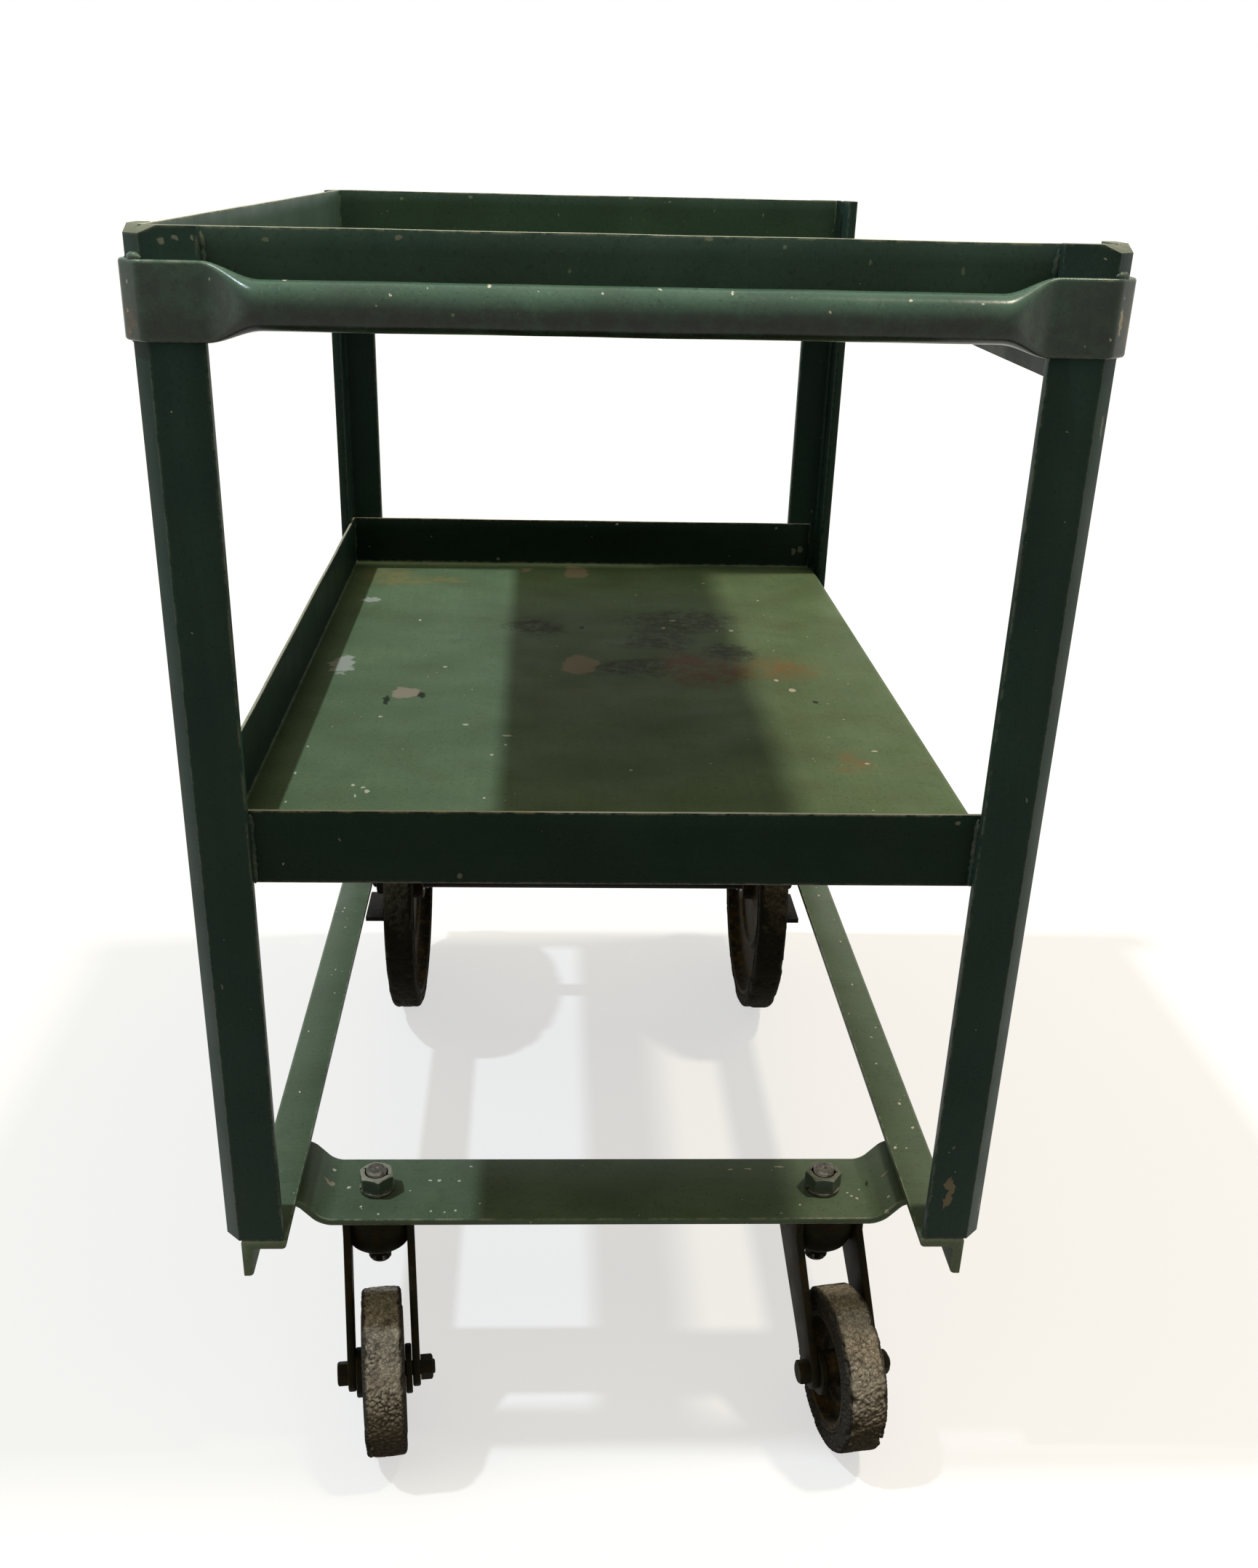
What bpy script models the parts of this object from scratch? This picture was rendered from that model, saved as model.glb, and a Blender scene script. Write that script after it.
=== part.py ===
# Two-tray workshop cart, in metres, +Z up, standing on z = 0.
# X runs across the cart, Y runs from the handle end to the far end.
# The near end has the push handle and two swivel casters, the far end has two large fixed wheels.

import math

import bmesh
import bpy
from mathutils import Matrix, Vector

# Clearance between pieces that touch on the real cart
SEAT_GAP = 0.0003

# Trays pressed from one sheet each, the near lip's outer face on the line Y = 0
TRAY_WIDTH = 0.616
TRAY_LENGTH = 0.975
RIM_HEIGHT = 1.018
TRAY_SHEET = 0.003
TRAY_LIP = 0.058
TRAY_FLANGE = 0.0363
TRAY_BEND_RADIUS = 0.0034
TRAY_CORNER_GAP = 0.0005
LOWER_FLOOR_HEIGHT = 0.5655

# Corner posts, heavy angle bars outside the trays
POST_LEG = 0.0483
POST_WALL = 0.010
POST_BEVEL = 0.012
POST_ROOT_RADIUS = 0.005
POST_TOE_RADIUS = 0.003
POST_CROWN_DROP = 0.005
POST_CROWN_REACH = 0.012

# Push handle, a tube whose flattened ends wrap the near posts
HANDLE_RADIUS = 0.0151
HANDLE_BELOW_RIM = 0.044
HANDLE_STANDOFF = 0.0008
HANDLE_FLAT_HEIGHT = 0.049
HANDLE_FLAT_THICKNESS = 0.0046
HANDLE_SWELL_LENGTH = 0.040
HANDLE_CORNER_RUN = 0.0025
HANDLE_WRAP = 0.016
HANDLE_STEPS = 20
HANDLE_SWELL_STEPS = 5

# Runners, angle bars along the cart under the posts
RUNNER_TOP = 0.236
RUNNER_INSET = 0.003
RUNNER_FLANGE = 0.0375
RUNNER_DROP = 0.037
RUNNER_WALL = 0.0085
RUNNER_CORNER_RADIUS = 0.003
RUNNER_ROOT_RADIUS = 0.005
RUNNER_TOE_RADIUS = 0.004

# Joggled cross bar that carries the swivel casters
BAR_THICKNESS = 0.0064
BAR_DEPTH = 0.0885
BAR_NEAR_EDGE = 0.0552
BAR_TOP = 0.2055
BAR_END_SEAT = 0.0242
BAR_JOGGLE_RUN = 0.020
BAR_BEND_RADIUS = 0.010

# Swivel casters
STEM_INSET = 0.043
STEM_RADIUS = 0.0095
STEM_HEAD_RADIUS = 0.021
STEM_HEAD_THICKNESS = 0.004
STEM_STAND_OUT = 0.0035
NUT_FLATS = 0.0286
NUT_HEIGHT = 0.0145
LEFT_NUT_TURN = math.radians(12)
RIGHT_NUT_TURN = math.radians(25)
WASHER_THICKNESS = 0.0042
WASHER_RADIUS = 0.0158
HOUSING_RADIUS = 0.0345
HOUSING_HEIGHT = 0.043
HOUSING_ROUNDING = 0.008
HOUSING_STEPS = 36
BUSH_WALL = 0.004
CASTLE_NUT_FLATS = 0.024
CASTLE_NUT_HEIGHT = 0.020
CASTLE_SLOT_DEPTH = 0.006
CASTLE_SLOT_WIDTH = 0.005
CASTER_TRAIL = 0.089
CASTER_LEFT_YAW = math.radians(6.4)
CASTER_RIGHT_YAW = math.radians(9.0)
FORK_GAP = 0.050
FORK_LEG_THICKNESS = 0.007
FORK_LEG_TOP_FRONT = 0.030
FORK_LEG_TOP_BACK = 0.022
FORK_LEG_SHOULDER = 0.018
FORK_EYE_RADIUS = 0.016
FORK_EYE_STEPS = 12
CASTER_WHEEL_RADIUS = 0.073
CASTER_WHEEL_WIDTH = 0.037
CASTER_RIM_RADIUS = 0.0525
CASTER_AXLE_RADIUS = 0.0064
AXLE_HEAD_FLATS = 0.019
AXLE_HEAD_HEIGHT = 0.009
AXLE_NUT_HEIGHT = 0.011
AXLE_STAND_OUT = 0.002
STEM_CHAMFER = 0.002
AXLE_NUT_TURN = math.radians(17)
SPACER_RADIUS = 0.0215

# Wheel section shared by both sizes
RIM_WALL = 0.006
RIM_SIDE_STEP = 0.0015
WEB_THICKNESS = 0.006
WEB_BEAD_HEIGHT = 0.004
WEB_BEAD_WIDTH = 0.006
WEB_ROUNDING = 0.005
HUB_ROUNDING = 0.003
HUB_BUSH_WALL = 0.003
HUB_WALL = 0.006
TYRE_EDGE_RADIUS = 0.004
WHEEL_STEPS = 32
SMALL_STEPS = 16
TINY_STEPS = 12
BEND_STEPS = 3

# Far wheels on one fixed axle
FAR_WHEEL_RADIUS = 0.1775
FAR_WHEEL_WIDTH = 0.038
FAR_RIM_RADIUS = 0.160
FAR_TYRE_EDGE_RADIUS = 0.008
FAR_AXLE_INSET = 0.163
FAR_AXLE_RADIUS = 0.016
FAR_WASHER_RADIUS = 0.024
FAR_WASHER_THICKNESS = 0.005
HANGER_WALL = 0.006
HANGER_FOOT = 0.0326
HANGER_LENGTH = 0.076
HANGER_BELOW_AXLE = 0.050
HANGER_BEND_RADIUS = 0.004
COLLAR_RADIUS = 0.025
COLLAR_WIDTH = 0.012
AXLE_PAST_COLLAR = 0.006
SPRING_PIN_RADIUS = 0.003
SPRING_PIN_LENGTH = 0.036

# Working lengths that no piece shows
CUTTER_OVERRUN = 0.010
MERGE_DISTANCE = 0.00001
MARKER_SIZE = 0.050

# Places worked out from the sizes above
HALF_WIDTH = TRAY_WIDTH / 2
TOP_FLOOR_HEIGHT = RIM_HEIGHT - TRAY_LIP
POST_STAND = SEAT_GAP + POST_WALL
POST_HALF = HALF_WIDTH + POST_STAND
POST_FOOT = RUNNER_TOP + SEAT_GAP
HANDLE_HEIGHT = RIM_HEIGHT - HANDLE_BELOW_RIM
RUNNER_HALF = HALF_WIDTH - RUNNER_INSET
RUNNER_LENGTH = TRAY_LENGTH + 2 * POST_STAND
STEM_PLACE = BAR_NEAR_EDGE + BAR_DEPTH / 2
BAR_UNDERSIDE = BAR_TOP - BAR_THICKNESS
BAR_END_TOP = RUNNER_TOP - RUNNER_WALL - SEAT_GAP
UNDER_RUNNER_HALF = RUNNER_HALF - RUNNER_WALL - RUNNER_ROOT_RADIUS - SEAT_GAP
BAR_FLAT_HALF = UNDER_RUNNER_HALF - BAR_END_SEAT - BAR_JOGGLE_RUN
STEM_HALF = BAR_FLAT_HALF - STEM_INSET
STEM_HEAD_TOP = BAR_UNDERSIDE - SEAT_GAP
HOUSING_TOP = STEM_HEAD_TOP - STEM_HEAD_THICKNESS - SEAT_GAP
HOUSING_BOTTOM = HOUSING_TOP - HOUSING_HEIGHT
FAR_AXLE_HEIGHT = FAR_WHEEL_RADIUS
FAR_AXLE_PLACE = TRAY_LENGTH - FAR_AXLE_INSET
HANGER_INNER = UNDER_RUNNER_HALF - HANGER_FOOT
FAR_WHEEL_OUTER = HANGER_INNER - FAR_WASHER_THICKNESS - 2 * SEAT_GAP
FAR_WHEEL_MIDDLE = FAR_WHEEL_OUTER - FAR_WHEEL_WIDTH / 2
COLLAR_INNER = HANGER_INNER + HANGER_WALL + SEAT_GAP
FAR_AXLE_HALF = COLLAR_INNER + COLLAR_WIDTH + AXLE_PAST_COLLAR
FAR_WHEEL_END = FAR_AXLE_PLACE + FAR_WHEEL_RADIUS
CASTER_REACH = TYRE_EDGE_RADIUS + math.sin(CASTER_LEFT_YAW) * (CASTER_WHEEL_WIDTH / 2 - TYRE_EDGE_RADIUS) + (
    math.cos(CASTER_LEFT_YAW) * (CASTER_TRAIL + CASTER_WHEEL_RADIUS - TYRE_EDGE_RADIUS))
CART_MIDDLE = (FAR_WHEEL_END + STEM_PLACE - CASTER_REACH) / 2


def clear_scene():
    for item in list(bpy.data.objects):
        bpy.data.objects.remove(item, do_unlink=True)


def make_collection(name):
    group = bpy.data.collections.new(name)
    bpy.context.scene.collection.children.link(group)
    return group


def make_material(name, colour, roughness, metallic):
    material = bpy.data.materials.new(name)
    material.use_nodes = True
    shader = material.node_tree.nodes["Principled BSDF"]
    shader.inputs["Base Color"].default_value = (*colour, 1.0)
    shader.inputs["Roughness"].default_value = roughness
    shader.inputs["Metallic"].default_value = metallic
    return material


clear_scene()
PARTS = make_collection("rolling_cart")
CUTTERS = make_collection("rolling_cart_cutters")

FINISHES = {
    "enamel": ((0.030, 0.055, 0.045), 0.45, 0.0),
    "enamel_floor": ((0.085, 0.115, 0.080), 0.55, 0.0),
    "enamel_bar": ((0.065, 0.100, 0.065), 0.50, 0.0),
    "steel": ((0.200, 0.195, 0.180), 0.50, 0.9),
    "iron": ((0.030, 0.028, 0.024), 0.60, 0.6),
    "bronze": ((0.250, 0.160, 0.070), 0.40, 0.9),
    "rubber": ((0.060, 0.055, 0.048), 0.85, 0.0),
    "rust": ((0.090, 0.060, 0.030), 0.80, 0.1),
}


def finish_object(item, finish, parent):
    colour, roughness, metallic = FINISHES[finish]
    item.data.materials.clear()
    item.data.materials.append(make_material(item.name + "_" + finish, colour, roughness, metallic))
    item.parent = parent


def object_from_bmesh(name, mesh_data, group=None):
    mesh = bpy.data.meshes.new(name)
    bmesh.ops.recalc_face_normals(mesh_data, faces=mesh_data.faces)
    mesh_data.to_mesh(mesh)
    mesh_data.free()
    item = bpy.data.objects.new(name, mesh)
    (group or PARTS).objects.link(item)
    return item


def shade_by_angle(item, degrees=35):
    item.data.shade_smooth()
    limit = math.radians(degrees)
    mesh_data = bmesh.new()
    mesh_data.from_mesh(item.data)
    for edge in mesh_data.edges:
        edge.smooth = len(edge.link_faces) == 2 and edge.calc_face_angle(0.0) < limit
    mesh_data.to_mesh(item.data)
    mesh_data.free()


def apply_modifiers(item):
    graph = bpy.context.evaluated_depsgraph_get()
    mesh = bpy.data.meshes.new_from_object(item.evaluated_get(graph), depsgraph=graph)
    old = item.data
    item.modifiers.clear()
    item.data = mesh
    mesh.name = old.name


def add_box(mesh_data, low, high):
    size = [high[i] - low[i] for i in range(3)]
    middle = [(high[i] + low[i]) / 2 for i in range(3)]
    place = Matrix.Translation(middle) @ Matrix.Diagonal((*size, 1.0))
    bmesh.ops.create_cube(mesh_data, size=1.0, matrix=place)


def add_rod(mesh_data, radius, start, end, steps=SMALL_STEPS, turn=0.0):
    start, end = Vector(start), Vector(end)
    along = end - start
    tilt = along.to_track_quat("Z", "Y").to_matrix().to_4x4()
    place = Matrix.Translation((start + end) / 2) @ tilt @ Matrix.Rotation(turn, 4, "Z")
    bmesh.ops.create_cone(mesh_data, cap_ends=True, segments=steps, radius1=radius, radius2=radius,
                          depth=along.length, matrix=place)


def cutter_box(name, low, high, place):
    mesh_data = bmesh.new()
    add_box(mesh_data, low, high)
    bmesh.ops.transform(mesh_data, verts=mesh_data.verts, matrix=place)
    return hide_cutter(object_from_bmesh(name, mesh_data, CUTTERS))


def cutter_rod(name, radius, start, end, steps=SMALL_STEPS):
    mesh_data = bmesh.new()
    add_rod(mesh_data, radius, start, end, steps)
    return hide_cutter(object_from_bmesh(name, mesh_data, CUTTERS))


def hide_cutter(item):
    item.hide_render = True
    item.display_type = "WIRE"
    return item


def combine(item, other, operation):
    change = item.modifiers.new(operation.lower() + "_" + other.name, "BOOLEAN")
    change.object = other
    change.operation = operation
    change.solver = "EXACT"


def bent_sheet(name, path, depth, wall, bend_radius, side):
    # A sheet bent along a path of (across, up) points, as deep as given along Y.
    # side is +1 to thicken to the left of the path, -1 to the right of it.
    mesh_data = bmesh.new()
    corners = [mesh_data.verts.new((x, 0.0, z)) for x, z in path]
    edges = [mesh_data.edges.new(pair) for pair in zip(corners[:-1], corners[1:])]
    made = bmesh.ops.extrude_edge_only(mesh_data, edges=edges)
    moved = [part for part in made["geom"] if isinstance(part, bmesh.types.BMVert)]
    bmesh.ops.translate(mesh_data, verts=moved, vec=(0.0, depth, 0.0))
    bends = [edge for edge in mesh_data.edges if len(edge.link_faces) == 2]
    for bend in bends:
        setback = bend_radius * math.tan(bend.calc_face_angle() / 2)
        bmesh.ops.bevel(mesh_data, geom=[bend], offset=setback, offset_type="OFFSET", segments=BEND_STEPS,
                        profile=0.5, affect="EDGES")
    bmesh.ops.recalc_face_normals(mesh_data, faces=mesh_data.faces)
    mesh_data.faces.ensure_lookup_table()
    first = Vector((path[1][0] - path[0][0], 0.0, path[1][1] - path[0][1]))
    left = Vector((-first.z, 0.0, first.x)).normalized()
    start = Vector((path[0][0], depth / 2, path[0][1])) + first / 4
    nearest = min(mesh_data.faces, key=lambda face: (face.calc_center_median() - start).length)
    if nearest.normal.dot(left) * side < 0:
        bmesh.ops.reverse_faces(mesh_data, faces=mesh_data.faces)
    mesh = bpy.data.meshes.new(name)
    mesh_data.to_mesh(mesh)
    mesh_data.free()
    item = bpy.data.objects.new(name, mesh)
    PARTS.objects.link(item)
    thicken = item.modifiers.new("sheet", "SOLIDIFY")
    thicken.thickness = wall
    thicken.offset = 1.0
    thicken.use_even_offset = True
    return item


def angle_bar(legs, wall, corner, corner_steps, root_radius, toe_radius, length):
    # An angle section with its outer corner on the Z axis and its legs along +X and +Y, as long as given along +Z.
    mesh_data = bmesh.new()
    across, side = legs
    plan = [(0.0, 0.0), (across, 0.0), (across, wall), (wall, wall), (wall, side), (0.0, side)]
    corners = [mesh_data.verts.new((x, y, 0.0)) for x, y in plan]
    mesh_data.faces.new(corners)
    rounded = [(corners[0], corner, corner_steps), (corners[3], root_radius, BEND_STEPS),
               (corners[2], toe_radius, BEND_STEPS), (corners[4], toe_radius, BEND_STEPS)]
    for spot, radius, steps in rounded:
        bmesh.ops.bevel(mesh_data, geom=[spot], offset=radius, offset_type="OFFSET", segments=steps, profile=0.5,
                        affect="VERTICES")
    made = bmesh.ops.extrude_face_region(mesh_data, geom=mesh_data.faces[:])
    moved = [part for part in made["geom"] if isinstance(part, bmesh.types.BMVert)]
    bmesh.ops.translate(mesh_data, verts=moved, vec=(0.0, 0.0, length))
    bmesh.ops.recalc_face_normals(mesh_data, faces=mesh_data.faces)
    return mesh_data


def turned(name, profile, steps, axis="X"):
    # A profile of (radius, along) points turned round the axis.
    mesh_data = bmesh.new()
    points = [mesh_data.verts.new((radius, 0.0, along)) for radius, along in profile]
    for first, second in zip(points, points[1:] + points[:1]):
        mesh_data.edges.new((first, second))
    mesh = bpy.data.meshes.new(name)
    mesh_data.to_mesh(mesh)
    mesh_data.free()
    item = bpy.data.objects.new(name, mesh)
    PARTS.objects.link(item)
    spin = item.modifiers.new("turn", "SCREW")
    spin.axis = "Z"
    spin.angle = math.tau
    spin.steps = steps
    spin.render_steps = steps
    spin.use_merge_vertices = True
    spin.merge_threshold = MERGE_DISTANCE
    apply_modifiers(item)
    mesh_data = bmesh.new()
    mesh_data.from_mesh(item.data)
    bmesh.ops.recalc_face_normals(mesh_data, faces=mesh_data.faces)
    if axis == "X":
        bmesh.ops.rotate(mesh_data, verts=mesh_data.verts, matrix=Matrix.Rotation(math.pi / 2, 3, "Y"))
    mesh_data.to_mesh(item.data)
    mesh_data.free()
    shade_by_angle(item)
    return item


def hex_block(mesh_data, flats, start, end, turn=0.0):
    add_rod(mesh_data, flats / math.sqrt(3), start, end, steps=6, turn=turn)


def empty_at(name, place, yaw=0.0, parent=None):
    item = bpy.data.objects.new(name, None)
    item.empty_display_size = MARKER_SIZE
    item.location = place
    item.rotation_euler = (0.0, 0.0, yaw)
    item.parent = parent
    PARTS.objects.link(item)
    return item


# Corner posts

def crown_post(mesh_data, height):
    # The top falls away towards the bevelled corner.
    slope = POST_CROWN_REACH / POST_CROWN_DROP
    bmesh.ops.bisect_plane(mesh_data, geom=mesh_data.verts[:] + mesh_data.edges[:] + mesh_data.faces[:],
                           plane_co=(POST_BEVEL + POST_CROWN_REACH, 0.0, height), plane_no=(-1.0, -1.0, slope),
                           clear_outer=True)
    open_edges = [edge for edge in mesh_data.edges if len(edge.link_faces) == 1]
    bmesh.ops.holes_fill(mesh_data, edges=open_edges)


def make_posts(root):
    corners = {
        "post_near_left": ((-POST_HALF, -POST_STAND), 0.0),
        "post_near_right": ((POST_HALF, -POST_STAND), math.pi / 2),
        "post_far_right": ((POST_HALF, TRAY_LENGTH + POST_STAND), math.pi),
        "post_far_left": ((-POST_HALF, TRAY_LENGTH + POST_STAND), -math.pi / 2),
    }
    height = RIM_HEIGHT - POST_FOOT
    for name, (corner, yaw) in corners.items():
        mesh_data = angle_bar((POST_LEG, POST_LEG), POST_WALL, POST_BEVEL, 1, POST_ROOT_RADIUS, POST_TOE_RADIUS, height)
        crown_post(mesh_data, height)
        item = object_from_bmesh(name, mesh_data)
        item.location = (*corner, POST_FOOT)
        item.rotation_euler = (0.0, 0.0, yaw)
        finish_object(item, "enamel", root)
        shade_by_angle(item)


# Trays

def tray_corner(side, end, skin_inset):
    # Floor outline at one corner, from the end lip round to the side edge, with the notch that lets both fold.
    notch = TRAY_BEND_RADIUS + TRAY_CORNER_GAP
    plan = [(skin_inset + notch, 0.0), (skin_inset + notch, notch), (skin_inset, notch)]
    middle = TRAY_LENGTH / 2
    return [(side * (HALF_WIDTH - u), middle + end * (middle - v)) for u, v in plan]


def make_tray(name, floor_height, root):
    # One sheet: lips turned up on the left and at both ends, a flange turned down on the right.
    near_right = tray_corner(1, -1, TRAY_SHEET)
    far_right = tray_corner(1, 1, TRAY_SHEET)
    far_left = tray_corner(-1, 1, 0.0)
    near_left = tray_corner(-1, -1, 0.0)
    outline = near_right + far_right[::-1] + far_left + near_left[::-1]
    mesh_data = bmesh.new()
    corners = [mesh_data.verts.new((x, y, 0.0)) for x, y in outline]
    mesh_data.faces.new(corners)
    last = len(near_right) - 1
    turns = {
        (last, last + 1): -TRAY_FLANGE + TRAY_SHEET,
        (2 * last + 1, 2 * last + 2): TRAY_LIP + TRAY_SHEET,
        (3 * last + 2, 3 * last + 3): TRAY_LIP + TRAY_SHEET,
        (4 * last + 3, 0): TRAY_LIP + TRAY_SHEET,
    }
    bends = []
    for (first, second), rise in turns.items():
        edge = mesh_data.edges.get((corners[first], corners[second]))
        bends.append(edge)
        made = bmesh.ops.extrude_edge_only(mesh_data, edges=[edge])
        moved = [part for part in made["geom"] if isinstance(part, bmesh.types.BMVert)]
        bmesh.ops.translate(mesh_data, verts=moved, vec=(0.0, 0.0, rise))
    bmesh.ops.bevel(mesh_data, geom=bends, offset=TRAY_BEND_RADIUS, offset_type="OFFSET", segments=BEND_STEPS,
                    profile=0.5, affect="EDGES")
    bmesh.ops.recalc_face_normals(mesh_data, faces=mesh_data.faces)
    floor = max(mesh_data.faces, key=lambda face: face.calc_area())
    if floor.normal.z > 0:
        bmesh.ops.reverse_faces(mesh_data, faces=mesh_data.faces)
    mesh = bpy.data.meshes.new(name)
    mesh_data.to_mesh(mesh)
    mesh_data.free()
    item = bpy.data.objects.new(name, mesh)
    PARTS.objects.link(item)
    item.location = (0.0, 0.0, floor_height - TRAY_SHEET)
    thicken = item.modifiers.new("sheet", "SOLIDIFY")
    thicken.thickness = TRAY_SHEET
    thicken.offset = -1.0
    thicken.use_even_offset = True
    apply_modifiers(item)
    finish_object(item, "enamel_floor", root)
    shade_by_angle(item)


# Push handle

def handle_stations():
    # (place across, place along, direction, height of section, thickness of section), left half, from the middle.
    flat_along = -(HANDLE_FLAT_THICKNESS / 2 + SEAT_GAP)
    tube_along = -(HANDLE_RADIUS + HANDLE_STANDOFF)
    bevel_start = POST_HALF - POST_BEVEL
    flat_start = POST_HALF - POST_LEG
    swell_start = flat_start - HANDLE_SWELL_LENGTH
    full = 2 * HANDLE_RADIUS
    stations = [(0.0, tube_along, 0.0, full, full), (swell_start, tube_along, 0.0, full, full)]
    for step in range(1, HANDLE_SWELL_STEPS + 1):
        share = step / HANDLE_SWELL_STEPS
        ease = share * share * (3 - 2 * share)
        stations.append((
            swell_start + HANDLE_SWELL_LENGTH * share,
            tube_along + (flat_along - tube_along) * ease,
            0.0,
            full + (HANDLE_FLAT_HEIGHT - full) * ease,
            full + (HANDLE_FLAT_THICKNESS - full) * ease,
        ))
    # Round the bevelled corner on the outside of the post
    offset = HANDLE_FLAT_THICKNESS / 2 + SEAT_GAP
    shift = offset * math.tan(math.pi / 8)
    height, thickness = HANDLE_FLAT_HEIGHT, HANDLE_FLAT_THICKNESS
    stations.append((bevel_start - shift - HANDLE_CORNER_RUN, -offset, 0.0, height, thickness))
    stations.append((bevel_start + shift, -offset, math.pi / 8, height, thickness))
    stations.append((POST_HALF + offset, POST_BEVEL - shift, 3 * math.pi / 8, height, thickness))
    stations.append((POST_HALF + offset, POST_BEVEL + shift + HANDLE_CORNER_RUN, math.pi / 2, height, thickness))
    stations.append((POST_HALF + offset, POST_BEVEL + HANDLE_WRAP, math.pi / 2, height, thickness))
    return stations


def make_handle(root):
    mesh_data = bmesh.new()
    half = handle_stations()
    stations = [(-x, y, -turn, height, thick) for x, y, turn, height, thick in reversed(half)] + half[1:]
    rings = []
    for across, along, turn, height, thick in stations:
        # A stadium section: it stays round where height and thickness agree.
        straight = (height - thick) / 2
        miter = 1.0 / math.cos(min(turn % (math.pi / 2), math.pi / 2 - turn % (math.pi / 2)))
        ring = []
        for number in range(HANDLE_STEPS):
            angle = math.tau * number / HANDLE_STEPS
            up = thick / 2 * math.sin(angle) + math.copysign(straight, math.sin(angle + 1e-6))
            out = thick / 2 * math.cos(angle) * miter
            ring.append(mesh_data.verts.new((
                across + out * math.sin(turn),
                along - out * math.cos(turn),
                HANDLE_HEIGHT + up,
            )))
        rings.append(ring)
    for first, second in zip(rings[:-1], rings[1:]):
        for number in range(HANDLE_STEPS):
            after = (number + 1) % HANDLE_STEPS
            mesh_data.faces.new((first[number], first[after], second[after], second[number]))
    mesh_data.faces.new(rings[0])
    mesh_data.faces.new(list(reversed(rings[-1])))
    item = object_from_bmesh("push_handle", mesh_data)
    item.location = (0.0, -POST_STAND, 0.0)
    finish_object(item, "enamel_bar", root)
    shade_by_angle(item)


# Runners and caster bar

def make_runners(root):
    # The right bar is laid from the far end, the left one from the near end.
    lay_right = Matrix(((-1, 0, 0, 0), (0, 0, -1, 0), (0, -1, 0, 0), (0, 0, 0, 1)))
    lay_left = Matrix(((1, 0, 0, 0), (0, 0, 1, 0), (0, -1, 0, 0), (0, 0, 0, 1)))
    far_end = TRAY_LENGTH + POST_STAND
    for name, lay, place in (("runner_right", lay_right, (RUNNER_HALF, far_end, RUNNER_TOP)),
                             ("runner_left", lay_left, (-RUNNER_HALF, -POST_STAND, RUNNER_TOP))):
        mesh_data = angle_bar((RUNNER_FLANGE, RUNNER_DROP), RUNNER_WALL, RUNNER_CORNER_RADIUS, BEND_STEPS,
                              RUNNER_ROOT_RADIUS, RUNNER_TOE_RADIUS, RUNNER_LENGTH)
        bmesh.ops.transform(mesh_data, verts=mesh_data.verts, matrix=lay)
        item = object_from_bmesh(name, mesh_data)
        item.location = place
        finish_object(item, "enamel_bar", root)
        shade_by_angle(item)


def make_caster_bar(root):
    half = [(BAR_FLAT_HALF, BAR_TOP), (BAR_FLAT_HALF + BAR_JOGGLE_RUN, BAR_END_TOP), (UNDER_RUNNER_HALF, BAR_END_TOP)]
    path = [(-x, z) for x, z in reversed(half)] + half
    item = bent_sheet("caster_bar", path, BAR_DEPTH, BAR_THICKNESS, BAR_BEND_RADIUS, side=-1)
    for side in (-1, 1):
        x = side * STEM_HALF
        hole = cutter_rod(f"stem_hole_cutter_{side}", STEM_RADIUS + SEAT_GAP,
                          (x, BAR_DEPTH / 2, BAR_UNDERSIDE - CUTTER_OVERRUN), (x, BAR_DEPTH / 2, BAR_TOP + CUTTER_OVERRUN))
        combine(item, hole, "DIFFERENCE")
    apply_modifiers(item)
    item.location = (0.0, BAR_NEAR_EDGE, 0.0)
    finish_object(item, "enamel_bar", root)
    shade_by_angle(item)


# Stems and what holds them in the bar

def castle_nut_top():
    return HOUSING_BOTTOM - SEAT_GAP


def make_stem(name, x, root):
    top = BAR_TOP + WASHER_THICKNESS + NUT_HEIGHT + 2 * SEAT_GAP + STEM_STAND_OUT
    bottom = castle_nut_top() - CASTLE_NUT_HEIGHT - STEM_STAND_OUT
    head_low = STEM_HEAD_TOP - STEM_HEAD_THICKNESS
    profile = [
        (0.0, top), (STEM_RADIUS - STEM_CHAMFER, top), (STEM_RADIUS, top - STEM_CHAMFER), (STEM_RADIUS, STEM_HEAD_TOP),
        (STEM_HEAD_RADIUS, STEM_HEAD_TOP), (STEM_HEAD_RADIUS, head_low), (STEM_RADIUS, head_low),
        (STEM_RADIUS, bottom + STEM_CHAMFER), (STEM_RADIUS - STEM_CHAMFER, bottom), (0.0, bottom),
    ]
    item = turned(name, profile, SMALL_STEPS, axis="Z")
    item.location = (x, STEM_PLACE, 0.0)
    finish_object(item, "steel", root)


def add_ring(mesh_data, inner, outer, low, high, steps=SMALL_STEPS, outer_steps=None, turn=0.0):
    # A flat ring, or with six outer steps a nut, on the Z axis.
    loops = []
    for z, radius in ((low, inner), (low, outer), (high, inner), (high, outer)):
        loop = []
        for number in range(steps):
            angle = math.tau * number / steps
            reach = radius
            if radius == outer and outer_steps == 6:
                reach = radius / math.cos(angle % (math.tau / 6) - math.tau / 12)
            place = (reach * math.cos(angle + turn), reach * math.sin(angle + turn), z)
            loop.append(mesh_data.verts.new(place))
        loops.append(loop)
    low_in, low_out, high_in, high_out = loops
    for first, second in ((low_in, low_out), (low_out, high_out), (high_out, high_in), (high_in, low_in)):
        for number in range(steps):
            after = (number + 1) % steps
            mesh_data.faces.new((first[number], first[after], second[after], second[number]))


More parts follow.
